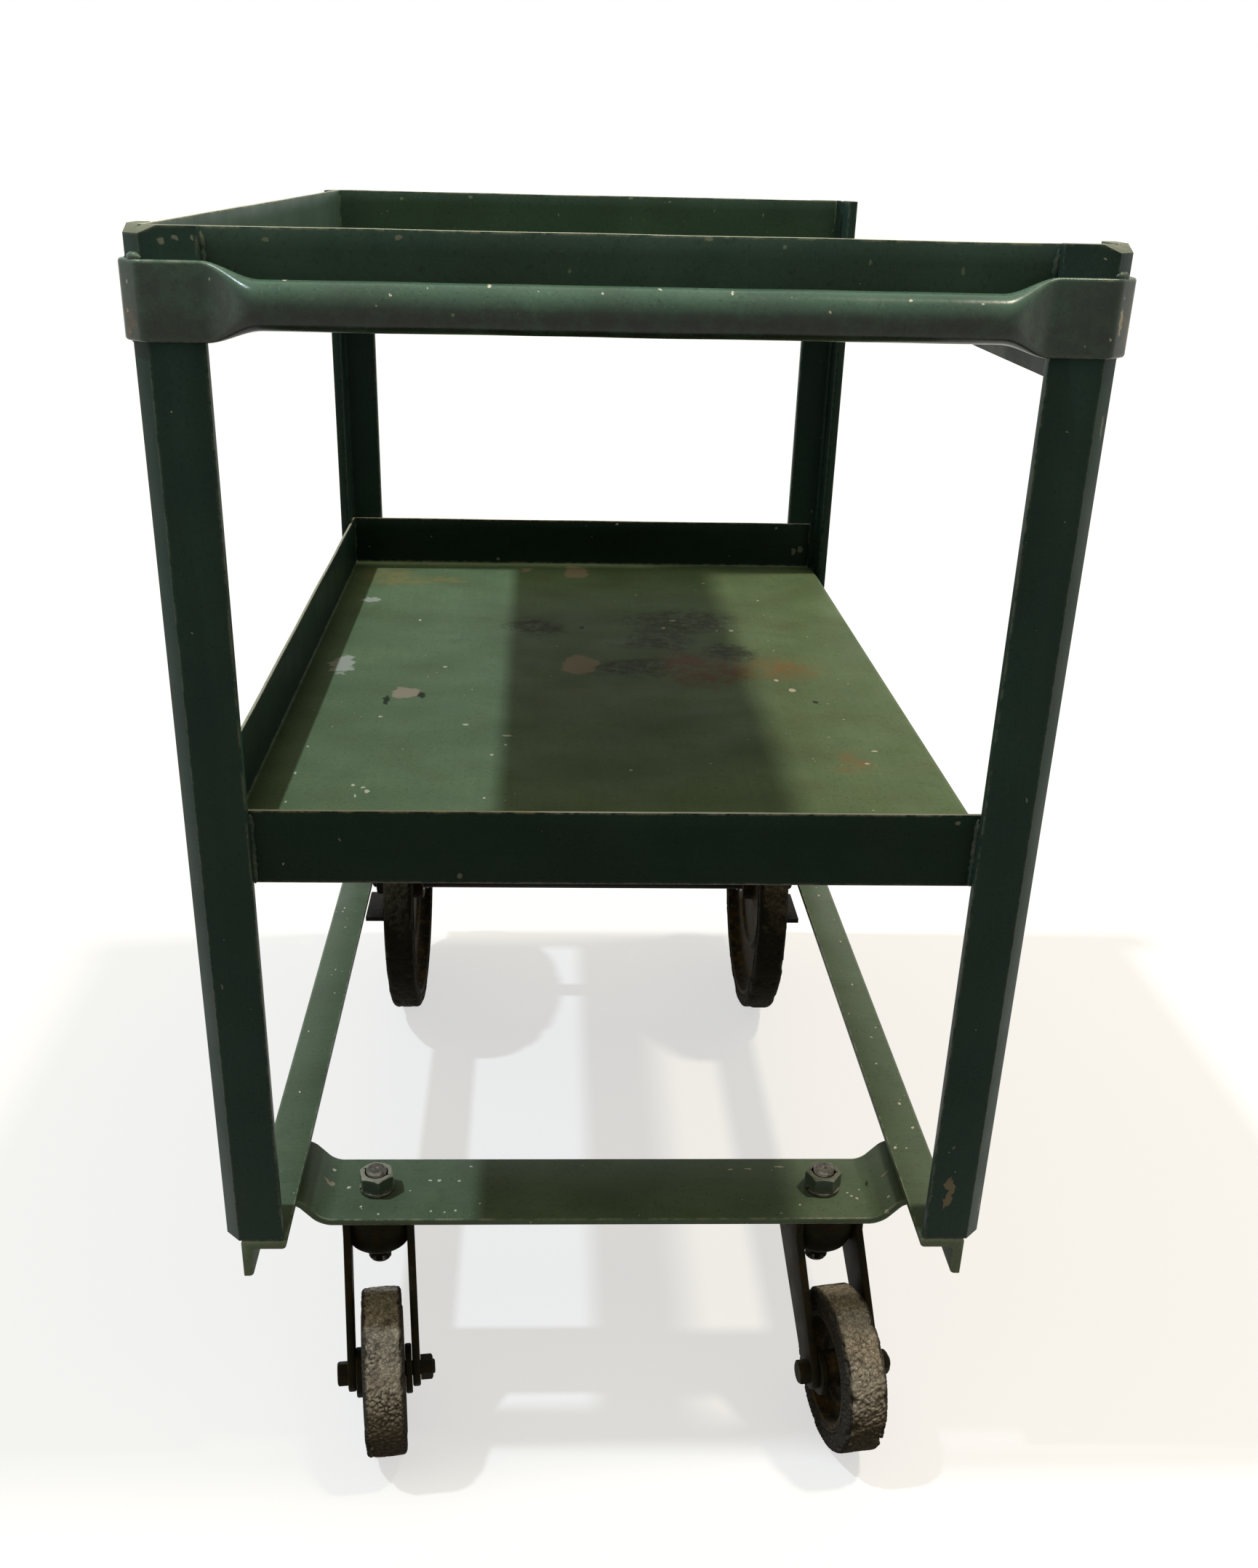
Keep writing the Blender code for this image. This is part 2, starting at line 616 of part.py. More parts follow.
def ring_object(name, inner, outer, low, high, finish, parent, outer_steps=None, turn=0.0):
    mesh_data = bmesh.new()
    add_ring(mesh_data, inner, outer, low, high, outer_steps=outer_steps, turn=turn)
    item = object_from_bmesh(name, mesh_data)
    finish_object(item, finish, parent)
    shade_by_angle(item)
    return item


def make_stem_hardware(side_name, x, nut_turn, root):
    bore = STEM_RADIUS + SEAT_GAP
    washer_low = BAR_TOP + SEAT_GAP
    nut_low = washer_low + WASHER_THICKNESS
    castle_low = castle_nut_top() - CASTLE_NUT_HEIGHT
    washer = ring_object(f"lock_washer_{side_name}", bore, WASHER_RADIUS, washer_low, nut_low - SEAT_GAP,
                         "steel", root)
    nut = ring_object(f"stem_nut_{side_name}", bore, NUT_FLATS / 2, nut_low, nut_low + NUT_HEIGHT, "steel", root,
                      outer_steps=6, turn=nut_turn)
    castle = ring_object(f"castle_nut_{side_name}", bore, CASTLE_NUT_FLATS / 2, castle_low, castle_nut_top(),
                         "iron", root, outer_steps=6)
    for number in range(3):
        angle = math.pi * number / 3 + math.pi / 6
        slot = cutter_box(f"castle_slot_cutter_{side_name}_{number}",
                          (-CASTLE_NUT_FLATS, -CASTLE_SLOT_WIDTH / 2, castle_low - CASTLE_SLOT_DEPTH),
                          (CASTLE_NUT_FLATS, CASTLE_SLOT_WIDTH / 2, castle_low + CASTLE_SLOT_DEPTH),
                          Matrix.Rotation(angle, 4, "Z"))
        combine(castle, slot, "DIFFERENCE")
    apply_modifiers(castle)
    for item in (washer, nut, castle):
        item.location = (x, STEM_PLACE, 0.0)


# Swivel caster forks, in the frame of the swivel axis: -Y is the trailing way, z is from the ground

def fork_leg_outline():
    # Side view of one leg: wide at the housing, raked to a round eye at the axle.
    eye = Vector((-CASTER_TRAIL, CASTER_WHEEL_RADIUS))
    top = HOUSING_TOP
    front = Vector((-FORK_LEG_TOP_FRONT, top - FORK_LEG_SHOULDER))
    back = Vector((FORK_LEG_TOP_BACK, HOUSING_BOTTOM + HOUSING_ROUNDING))
    points = [Vector((FORK_LEG_TOP_BACK, top)), Vector((-FORK_LEG_TOP_FRONT, top)), front]

    def tangent_angle(point, side):
        away = point - eye
        return math.atan2(away.y, away.x) + side * math.acos(FORK_EYE_RADIUS / away.length)

    start = tangent_angle(front, 1)
    end = tangent_angle(back, -1) + math.tau
    for number in range(FORK_EYE_STEPS + 1):
        angle = start + (end - start) * number / FORK_EYE_STEPS
        points.append(eye + FORK_EYE_RADIUS * Vector((math.cos(angle), math.sin(angle))))
    points.append(back)
    return points


def make_fork(name, swivel):
    mesh_data = bmesh.new()
    add_rod(mesh_data, HOUSING_RADIUS, (0, 0, HOUSING_BOTTOM), (0, 0, HOUSING_TOP), steps=HOUSING_STEPS)
    rim = [edge for edge in mesh_data.edges if all(vert.co.z < HOUSING_BOTTOM + MERGE_DISTANCE for vert in edge.verts)]
    bmesh.ops.bevel(mesh_data, geom=rim, offset=HOUSING_ROUNDING, offset_type="OFFSET", segments=BEND_STEPS, profile=0.5,
                    affect="EDGES")
    item = object_from_bmesh(name, mesh_data)
    outline = fork_leg_outline()
    for side in (-1, 1):
        curve = bpy.data.curves.new(f"{name}_leg_outline_{side}", "CURVE")
        curve.dimensions = "2D"
        curve.fill_mode = "BOTH"
        curve.extrude = FORK_LEG_THICKNESS / 2
        spline = curve.splines.new("POLY")
        spline.points.add(len(outline) - 1)
        for point, spot in zip(spline.points, outline):
            point.co = (spot.x, spot.y, 0.0, 1.0)
        spline.use_cyclic_u = True
        shape = bpy.data.objects.new(f"{name}_leg_curve_{side}", curve)
        CUTTERS.objects.link(shape)
        graph = bpy.context.evaluated_depsgraph_get()
        mesh = bpy.data.meshes.new_from_object(shape.evaluated_get(graph))
        bpy.data.objects.remove(shape, do_unlink=True)
        leg_data = bmesh.new()
        leg_data.from_mesh(mesh)
        bmesh.ops.remove_doubles(leg_data, verts=leg_data.verts, dist=MERGE_DISTANCE)
        stand = Matrix.Rotation(math.pi / 2, 4, "Z") @ Matrix.Rotation(math.pi / 2, 4, "X")
        bmesh.ops.transform(leg_data, verts=leg_data.verts, matrix=stand)
        across = side * (FORK_GAP + FORK_LEG_THICKNESS) / 2
        bmesh.ops.translate(leg_data, verts=leg_data.verts, vec=(across, 0.0, 0.0))
        leg = hide_cutter(object_from_bmesh(f"{name}_leg_{side}", leg_data, CUTTERS))
        combine(item, leg, "UNION")
    reach = HOUSING_RADIUS * 2
    eye_place = (-CASTER_TRAIL, CASTER_WHEEL_RADIUS)
    eye = cutter_rod(f"{name}_axle_cutter", CASTER_AXLE_RADIUS + SEAT_GAP,
                     (-reach, *eye_place), (reach, *eye_place))
    bore = cutter_rod(f"{name}_bore_cutter", STEM_RADIUS + BUSH_WALL + 2 * SEAT_GAP,
                      (0, 0, HOUSING_BOTTOM - CUTTER_OVERRUN), (0, 0, HOUSING_TOP + CUTTER_OVERRUN))
    combine(item, eye, "DIFFERENCE")
    combine(item, bore, "DIFFERENCE")
    apply_modifiers(item)
    finish_object(item, "iron", swivel)
    shade_by_angle(item)


def make_swivel_bush(name, swivel):
    inner = STEM_RADIUS + SEAT_GAP
    outer = inner + BUSH_WALL
    profile = [(inner, HOUSING_BOTTOM), (outer, HOUSING_BOTTOM), (outer, HOUSING_TOP), (inner, HOUSING_TOP)]
    item = turned(name, profile, SMALL_STEPS, axis="Z")
    finish_object(item, "bronze", swivel)


def make_caster_axle(side_name, swivel):
    # Bolt with its head on the left leg, its nut on the right leg.
    outer = FORK_GAP / 2 + FORK_LEG_THICKNESS + SEAT_GAP
    place = (-CASTER_TRAIL, CASTER_WHEEL_RADIUS)
    mesh_data = bmesh.new()
    hex_block(mesh_data, AXLE_HEAD_FLATS, (-outer - AXLE_HEAD_HEIGHT, *place), (-outer, *place))
    item = object_from_bmesh(f"caster_{side_name}_axle_bolt", mesh_data)
    shank = bmesh.new()
    end = outer + AXLE_NUT_HEIGHT + AXLE_STAND_OUT
    add_rod(shank, CASTER_AXLE_RADIUS, (-outer - AXLE_HEAD_HEIGHT / 2, *place), (end, *place))
    shank_item = hide_cutter(object_from_bmesh(f"caster_{side_name}_shank", shank, CUTTERS))
    combine(item, shank_item, "UNION")
    apply_modifiers(item)
    finish_object(item, "iron", swivel)
    shade_by_angle(item)

    inner = CASTER_WHEEL_WIDTH / 2 + SEAT_GAP
    bore = CASTER_AXLE_RADIUS + SEAT_GAP
    leg = FORK_GAP / 2 - SEAT_GAP
    nut = ring_object(f"caster_{side_name}_axle_nut", bore, AXLE_HEAD_FLATS / 2, outer, outer + AXLE_NUT_HEIGHT,
                      "iron", swivel, outer_steps=6, turn=AXLE_NUT_TURN)
    left = ring_object(f"caster_{side_name}_spacer_left", bore, SPACER_RADIUS, -leg, -inner, "iron", swivel)
    right = ring_object(f"caster_{side_name}_spacer_right", bore, SPACER_RADIUS, inner, leg, "iron", swivel)
    for ring in (nut, left, right):
        ring.rotation_euler = (0.0, math.pi / 2, 0.0)
        ring.location = (0.0, *place)


# Wheels, turned round X at their own centre

def disc_profile(rim_radius, width, bore_radius):
    # Half section of a pressed disc wheel with a hub, a web with a raised bead, and a rim.
    half = width / 2
    hub = bore_radius + HUB_WALL
    web = WEB_THICKNESS / 2
    rim_half = half - RIM_SIDE_STEP
    rim_low = rim_radius - RIM_WALL
    bead = (hub + rim_low) / 2
    outward = [
        (bore_radius, half), (hub, half), (hub + HUB_ROUNDING, web), (bead - WEB_BEAD_WIDTH, web),
        (bead, web + WEB_BEAD_HEIGHT), (bead + WEB_BEAD_WIDTH, web), (rim_low - WEB_ROUNDING, web),
        (rim_low, web + WEB_ROUNDING), (rim_low, rim_half), (rim_radius, rim_half),
    ]
    return outward + [(radius, -along) for radius, along in reversed(outward)]


def tyre_profile(outer_radius, inner_radius, width, edge):
    half = width / 2
    points = [(inner_radius, half)]
    for number in range(BEND_STEPS + 1):
        angle = math.pi / 2 * (1 - number / BEND_STEPS)
        points.append((outer_radius - edge + edge * math.cos(angle), half - edge + edge * math.sin(angle)))
    return points + [(radius, -along) for radius, along in reversed(points)]


def make_wheel(name, outer_radius, rim_radius, width, axle_radius, edge, finish, spin):
    bush_inner = axle_radius + SEAT_GAP
    bush_outer = bush_inner + HUB_BUSH_WALL
    half = width / 2
    disc = turned(name + "_disc", disc_profile(rim_radius, width, bush_outer + SEAT_GAP), WHEEL_STEPS)
    finish_object(disc, finish, spin)
    tyre = turned(name + "_tyre", tyre_profile(outer_radius, rim_radius + SEAT_GAP, width, edge), WHEEL_STEPS)
    finish_object(tyre, "rubber", spin)
    bush = turned(name + "_bush", [(bush_inner, -half), (bush_outer, -half), (bush_outer, half), (bush_inner, half)],
                  SMALL_STEPS)
    finish_object(bush, "bronze", spin)


def make_caster(side_name, x, yaw, root):
    swivel = empty_at(f"caster_{side_name}_swivel_axis", (x, STEM_PLACE, 0.0), yaw, root)
    make_fork(f"caster_{side_name}_fork", swivel)
    make_swivel_bush(f"caster_{side_name}_swivel_bush", swivel)
    make_caster_axle(side_name, swivel)
    spin = empty_at(f"caster_{side_name}_wheel_axis", (0.0, -CASTER_TRAIL, CASTER_WHEEL_RADIUS), 0.0, swivel)
    make_wheel(f"caster_{side_name}_wheel", CASTER_WHEEL_RADIUS, CASTER_RIM_RADIUS, CASTER_WHEEL_WIDTH,
               CASTER_AXLE_RADIUS, TYRE_EDGE_RADIUS, "iron", spin)


# Far axle with its hangers

def make_far_axle(root):
    mesh_data = bmesh.new()
    add_rod(mesh_data, FAR_AXLE_RADIUS, (-FAR_AXLE_HALF, 0, 0), (FAR_AXLE_HALF, 0, 0), steps=SMALL_STEPS)
    item = object_from_bmesh("far_axle", mesh_data)
    pin_place = FAR_WHEEL_OUTER - FAR_WHEEL_WIDTH - SPRING_PIN_RADIUS - 2 * SEAT_GAP
    for side in (-1, 1):
        x = side * pin_place
        hole = cutter_rod(f"axle_pin_cutter_{side}", SPRING_PIN_RADIUS + SEAT_GAP,
                          (x, 0.0, -SPRING_PIN_LENGTH), (x, 0.0, SPRING_PIN_LENGTH), steps=TINY_STEPS)
        combine(item, hole, "DIFFERENCE")
    apply_modifiers(item)
    item.location = (0.0, FAR_AXLE_PLACE, FAR_AXLE_HEIGHT)
    finish_object(item, "iron", root)
    shade_by_angle(item)

    for side_name, side in (("left", -1), ("right", 1)):
        pin = bmesh.new()
        add_rod(pin, SPRING_PIN_RADIUS, (0, 0, -SPRING_PIN_LENGTH / 2), (0, 0, SPRING_PIN_LENGTH / 2), steps=TINY_STEPS)
        pin_item = object_from_bmesh(f"axle_pin_{side_name}", pin)
        pin_item.location = (side * pin_place, FAR_AXLE_PLACE, FAR_AXLE_HEIGHT)
        finish_object(pin_item, "steel", root)
        shade_by_angle(pin_item)


def make_axle_rings(root):
    bore = FAR_AXLE_RADIUS + SEAT_GAP
    washer_inner = FAR_WHEEL_OUTER + SEAT_GAP
    for side_name, side in (("left", -1), ("right", 1)):
        washer = ring_object(f"axle_washer_{side_name}", bore, FAR_WASHER_RADIUS, washer_inner,
                             washer_inner + FAR_WASHER_THICKNESS, "steel", root)
        collar = ring_object(f"axle_collar_{side_name}", bore, COLLAR_RADIUS, COLLAR_INNER,
                             COLLAR_INNER + COLLAR_WIDTH, "iron", root)
        for ring in (washer, collar):
            ring.rotation_euler = (0.0, side * math.pi / 2, 0.0)
            ring.location = (0.0, FAR_AXLE_PLACE, FAR_AXLE_HEIGHT)


def make_hangers(root):
    top = BAR_END_TOP
    bottom = FAR_AXLE_HEIGHT - HANGER_BELOW_AXLE
    path = [(UNDER_RUNNER_HALF, top), (HANGER_INNER, top), (HANGER_INNER, bottom), (UNDER_RUNNER_HALF, bottom)]
    for name, turned_round in (("axle_hanger_right", False), ("axle_hanger_left", True)):
        item = bent_sheet(name, path, HANGER_LENGTH, HANGER_WALL, HANGER_BEND_RADIUS, side=1)
        hole = cutter_rod(f"{name}_cutter", FAR_AXLE_RADIUS + SEAT_GAP,
                          (HANGER_INNER - CUTTER_OVERRUN, HANGER_LENGTH / 2, FAR_AXLE_HEIGHT),
                          (HANGER_INNER + HANGER_WALL + CUTTER_OVERRUN, HANGER_LENGTH / 2, FAR_AXLE_HEIGHT))
        combine(item, hole, "DIFFERENCE")
        apply_modifiers(item)
        item.data.transform(Matrix.Translation((0.0, -HANGER_LENGTH / 2, 0.0)))
        if turned_round:
            item.data.transform(Matrix.Rotation(math.pi, 4, "Z"))
        item.location = (0.0, FAR_AXLE_PLACE, 0.0)
        finish_object(item, "iron", root)
        shade_by_angle(item)


def make_far_wheels(root):
    for side_name, side in (("left", -1), ("right", 1)):
        place = (side * FAR_WHEEL_MIDDLE, FAR_AXLE_PLACE, FAR_AXLE_HEIGHT)
        spin = empty_at(f"far_{side_name}_wheel_axis", place, 0.0, root)
        make_wheel(f"far_{side_name}_wheel", FAR_WHEEL_RADIUS, FAR_RIM_RADIUS, FAR_WHEEL_WIDTH,
                   FAR_AXLE_RADIUS, FAR_TYRE_EDGE_RADIUS, "rust", spin)


def build_cart():
    root = empty_at("cart_origin", (0.0, -CART_MIDDLE, 0.0))
    make_posts(root)
    make_tray("top_tray", TOP_FLOOR_HEIGHT, root)
    make_tray("lower_tray", LOWER_FLOOR_HEIGHT, root)
    make_handle(root)
    make_runners(root)
    make_caster_bar(root)
    for side_name, side, yaw, nut_turn in (("left", -1, CASTER_LEFT_YAW, LEFT_NUT_TURN),
                                           ("right", 1, CASTER_RIGHT_YAW, RIGHT_NUT_TURN)):
        x = side * STEM_HALF
        make_stem(f"caster_stem_{side_name}", x, root)
        make_stem_hardware(side_name, x, nut_turn, root)
        make_caster(side_name, x, yaw, root)
    make_far_axle(root)
    make_axle_rings(root)
    make_hangers(root)
    make_far_wheels(root)


build_cart()
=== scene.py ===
import math
import random

import bmesh
import bpy
from mathutils import Matrix, Vector, noise


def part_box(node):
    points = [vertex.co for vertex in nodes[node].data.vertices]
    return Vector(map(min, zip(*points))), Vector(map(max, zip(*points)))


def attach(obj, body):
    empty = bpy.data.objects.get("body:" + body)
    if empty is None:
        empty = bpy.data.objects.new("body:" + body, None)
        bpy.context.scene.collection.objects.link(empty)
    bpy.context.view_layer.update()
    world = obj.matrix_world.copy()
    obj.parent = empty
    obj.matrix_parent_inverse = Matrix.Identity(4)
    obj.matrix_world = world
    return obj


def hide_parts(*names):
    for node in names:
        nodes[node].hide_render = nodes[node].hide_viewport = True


noise.seed_set(5)  # without a seed noise_vector follows the clock, and the waves and cracks change from run to run
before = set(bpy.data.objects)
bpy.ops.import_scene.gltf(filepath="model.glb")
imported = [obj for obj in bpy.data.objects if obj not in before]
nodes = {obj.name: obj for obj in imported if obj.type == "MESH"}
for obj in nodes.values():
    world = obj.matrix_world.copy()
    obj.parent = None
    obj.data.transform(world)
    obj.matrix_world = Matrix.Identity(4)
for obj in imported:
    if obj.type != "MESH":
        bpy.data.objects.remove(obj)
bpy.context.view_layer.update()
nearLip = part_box("top_tray")[0].y  # outer face of the near lip, every place along the cart is counted from it
print("frame loaded:", len(nodes), "nodes")

# small helpers
mergeDistance = 0.00001
trayLength = 0.975  # from the near lip to the far lip, the posts and runners are set out from it
millimetres = 1000  # in a metre
foldAngle = math.radians(50)  # sheet edges sharper than this are softened


def linearOf(hexColour):
    # sRGB hex to the linear values that the shaders take
    channels = [int(hexColour[i:i + 2], 16) / 255 for i in (1, 3, 5)]
    return [c / 12.92 if c <= 0.04045 else ((c + 0.055) / 1.055) ** 2.4 for c in channels] + [1.0]


def addNode(tree, kind, inputs=None, give=None, **settings):
    # one node with its settings, and its inputs as links or plain values; give names the output to hand back
    node = tree.nodes.new(kind)
    for name, value in settings.items():
        setattr(node, name, value)
    for name, value in (inputs or {}).items():
        if isinstance(value, bpy.types.NodeSocket):
            tree.links.new(value, node.inputs[name])
        else:
            node.inputs[name].default_value = value
    return node if give is None else node.outputs[give]


def emptyMaterial(name):
    material = bpy.data.materials.new(name)
    material.use_nodes = True
    material.node_tree.nodes.clear()
    return material


def at(across, along, up):
    # a place on the cart: across from the middle, along from the near lip, up from the floor
    return Vector((across, nearLip + along, up))


def finishPiece(name, shape, material, body, replaced=(), smoothAngle=38):
    # closes a bmesh into an object that sits at the origin and rides on its body
    bmesh.ops.remove_doubles(shape, verts=shape.verts, dist=mergeDistance)
    bmesh.ops.recalc_face_normals(shape, faces=shape.faces)
    mesh = bpy.data.meshes.new(name)
    shape.to_mesh(mesh)
    shape.free()
    mesh.shade_smooth()
    mesh.set_sharp_from_angle(angle=math.radians(smoothAngle))
    for paint in material if isinstance(material, (list, tuple)) else [material]:
        mesh.materials.append(paint)
    piece = bpy.data.objects.new(name, mesh)
    bpy.context.scene.collection.objects.link(piece)
    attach(piece, body)
    if replaced:
        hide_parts(*replaced)
    return piece


# camera
camera = {
    "place": (-0.055135, -1.475604, 1.062020),
    "right": (0.99934365, -0.0298724, 0.02049156),
    "down": (0.00583566, -0.42552752, -0.90492667),
    "ahead": (0.03575206, 0.9044523, -0.4250739),
    "lens": 42.817,
    "sensor": 36,
    "shift": (0.02617, 0.05903),
    "reach": 40,
}
cameraData = bpy.data.cameras.new("camera")
cameraData.sensor_fit = "HORIZONTAL"
cameraData.sensor_width = camera["sensor"]
cameraData.lens = camera["lens"]
cameraData.shift_x, cameraData.shift_y = camera["shift"]
cameraData.clip_end = camera["reach"]
cameraObject = bpy.data.objects.new("camera", cameraData)
bpy.context.scene.collection.objects.link(cameraObject)
turn = Matrix((camera["right"], [-c for c in camera["down"]], [-c for c in camera["ahead"]])).transposed()
cameraObject.matrix_world = Matrix.Translation(camera["place"]) @ turn.to_4x4()
bpy.context.scene.camera = cameraObject
bpy.context.scene.view_settings.view_transform = "Standard"

# floor, backdrop and lamps
studio = {
    "floorSize": 60.0,
    "floorColour": "#ffffff",
    "floorGlow": 0.62,  # share of the floor that is plain white to the lens, the rest takes the shadow
    "bounceColour": "#44443e",  # what the floor throws back at the cart
    "leftLamp": {"elevation": 61.6, "azimuth": 180.0, "strength": 1.60, "angle": 2.2, "colour": "#eaf6ff"},
    "rightLamp": {"elevation": 68.0, "azimuth": 4.0, "strength": 1.60, "angle": 5.0, "colour": "#fff1dc"},
    "skyOverhead": 0.76,
    "skyLevel": 0.03,
    "skyRise": (0.15, 0.90),  # where the soft light starts and ends, from level to overhead
    "skyColour": "#f3e8c6",
}


def makeStudio():
    shape = bmesh.new()
    bmesh.ops.create_grid(shape, x_segments=2, y_segments=2, size=studio["floorSize"] / 2)
    mesh = bpy.data.meshes.new("floor")
    shape.to_mesh(mesh)
    shape.free()
    floor = bpy.data.objects.new("floor", mesh)
    bpy.context.scene.collection.objects.link(floor)
    # matt paper sweep: white to the lens and in shine, greyer in what it bounces
    paper = emptyMaterial("studioPaper")
    tree = paper.node_tree
    path = addNode(tree, "ShaderNodeLightPath")
    seen = addNode(tree, "ShaderNodeMath", {0: path.outputs["Is Camera Ray"], 1: path.outputs["Is Glossy Ray"]}, give=0,
                   operation="MAXIMUM")
    seen = addNode(tree, "ShaderNodeMath", {0: seen, 1: path.outputs["Is Transmission Ray"]}, give=0,
                   operation="MAXIMUM")
    dull = addNode(tree, "ShaderNodeBsdfDiffuse", {"Color": linearOf(studio["bounceColour"])}, give=0)
    bright = addNode(tree, "ShaderNodeBsdfDiffuse", {"Color": linearOf(studio["floorColour"])}, give=0)
    glow = addNode(tree, "ShaderNodeEmission", {"Color": linearOf(studio["floorColour"]), "Strength": 1.0}, give=0)
    white = addNode(tree, "ShaderNodeMixShader", {0: studio["floorGlow"], 1: bright, 2: glow}, give=0)
    both = addNode(tree, "ShaderNodeMixShader", {0: seen, 1: dull, 2: white}, give=0)
    addNode(tree, "ShaderNodeOutputMaterial", {"Surface": both})
    mesh.materials.append(paper)

    for name in ("leftLamp", "rightLamp"):
        look = studio[name]
        lamp = bpy.data.lights.new(name, "SUN")
        lamp.energy = look["strength"]
        lamp.angle = math.radians(look["angle"])
        lamp.color = linearOf(look["colour"])[:3]
        lampObject = bpy.data.objects.new(name, lamp)
        bpy.context.scene.collection.objects.link(lampObject)
        rise, heading = math.radians(look["elevation"]), math.radians(look["azimuth"])
        towards = Vector((math.cos(heading) * math.cos(rise), math.sin(heading) * math.cos(rise), math.sin(rise)))
        lampObject.rotation_euler = towards.to_track_quat("Z", "Y").to_euler()

    world = bpy.data.worlds.new("studioSky")
    bpy.context.scene.world = world
    world.use_nodes = True
    tree = world.node_tree
    tree.nodes.clear()
    path = addNode(tree, "ShaderNodeLightPath")
    seen = addNode(tree, "ShaderNodeMath", {0: path.outputs["Is Camera Ray"], 1: path.outputs["Is Glossy Ray"]}, give=0,
                   operation="MAXIMUM")
    seen = addNode(tree, "ShaderNodeMath", {0: seen, 1: path.outputs["Is Transmission Ray"]}, give=0,
                   operation="MAXIMUM")
    ahead = addNode(tree, "ShaderNodeTexCoord", give="Generated")
    upward = addNode(tree, "ShaderNodeSeparateXYZ", {0: ahead}, give="Z")
    start, end = studio["skyRise"]
    level = addNode(tree, "ShaderNodeMapRange", {"Value": upward, "From Min": start, "From Max": end,
                                                 "To Min": studio["skyLevel"], "To Max": studio["skyOverhead"]}, give=0)
    sky = addNode(tree, "ShaderNodeBackground", {"Color": linearOf(studio["skyColour"]), "Strength": level}, give=0)
    white = addNode(tree, "ShaderNodeBackground", {"Color": (1, 1, 1, 1), "Strength": 1.0}, give=0)
    both = addNode(tree, "ShaderNodeMixShader", {0: seen, 1: sky, 2: white}, give=0)
    addNode(tree, "ShaderNodeOutputWorld", {"Surface": both})


makeStudio()
print("camera and lamps set")


# materials
def startMaterial(name):
    material = emptyMaterial(name)
    tree = material.node_tree
    return material, tree, addNode(tree, "ShaderNodeTexCoord", give="Object")


def endMaterial(tree, values):
    shader = addNode(tree, "ShaderNodeBsdfPrincipled", values, give=0)
    addNode(tree, "ShaderNodeOutputMaterial", {"Surface": shader})


def layColours(tree, place, base, layers):
    # soft patches over a base: lump size in metres, detail, where the noise starts and ends, strength, colour
    colour = linearOf(base)
    for size, detail, low, high, strength, tint in layers:
        lumps = addNode(tree, "ShaderNodeTexNoise", {"Vector": place, "Scale": 1 / size, "Detail": detail,
                                                     "Roughness": 0.62}, give=0)
        share = addNode(tree, "ShaderNodeMapRange", {"Value": lumps, "From Min": low, "From Max": high,
                                                     "To Max": strength}, give=0)
        colour = addNode(tree, "ShaderNodeMix", {"Factor": share, "A": colour, "B": linearOf(tint)}, give="Result",
                         data_type="RGBA")
    return colour


def frayed(tree, place, size, reach):
    # the place moved about by a noise, so that outlines drawn from it come out ragged
    lumps = addNode(tree, "ShaderNodeTexNoise", {"Vector": place, "Scale": 1 / size, "Detail": 3.0}, give="Color")
    centred = addNode(tree, "ShaderNodeVectorMath", {0: lumps, 1: (0.5, 0.5, 0.5)}, give=0, operation="SUBTRACT")
    moved = addNode(tree, "ShaderNodeVectorMath", {0: centred, "Scale": reach}, give=0, operation="SCALE")
    return addNode(tree, "ShaderNodeVectorMath", {0: place, 1: moved}, give=0, operation="ADD")


# marks on the paint: colour, softness of the outline, strength, size and reach of its raggedness, mottled or even
markKinds = {
    "stain": {"colour": "#2a2a14", "soft": 0.42, "strength": 0.85, "size": 0.024, "reach": 0.060, "mottled": True},
    "rust": {"colour": "#744a25", "soft": 0.50, "strength": 0.85, "size": 0.022, "reach": 0.055, "mottled": True},
    "orange": {"colour": "#8f6d45", "soft": 0.80, "strength": 0.70, "size": 0.022, "reach": 0.045, "mottled": True},
    "residue": {"colour": "#9c8c58", "soft": 0.70, "strength": 0.60, "size": 0.016, "reach": 0.035, "mottled": True},
    "tan": {"colour": "#a89c86", "soft": 0.14, "strength": 0.85, "size": 0.018, "reach": 0.022, "mottled": False},
    "torn": {"colour": "#b9beb4", "soft": 0.14, "strength": 0.95, "size": 0.012, "reach": 0.028, "mottled": False},
    "pale": {"colour": "#a79c8a", "soft": 0.12, "strength": 0.95, "size": 0.010, "reach": 0.018, "mottled": False},
    "dark": {"colour": "#191c16", "soft": 0.30, "strength": 0.85, "size": 0.006, "reach": 0.008, "mottled": False},
    "chip": {"colour": "#d0cdbc", "soft": 0.15, "strength": 1.00, "size": 0.004, "reach": 0.004, "mottled": False},
    "worn": {"colour": "#8f9585", "soft": 0.30, "strength": 0.80, "size": 0.004, "reach": 0.004, "mottled": False},
}
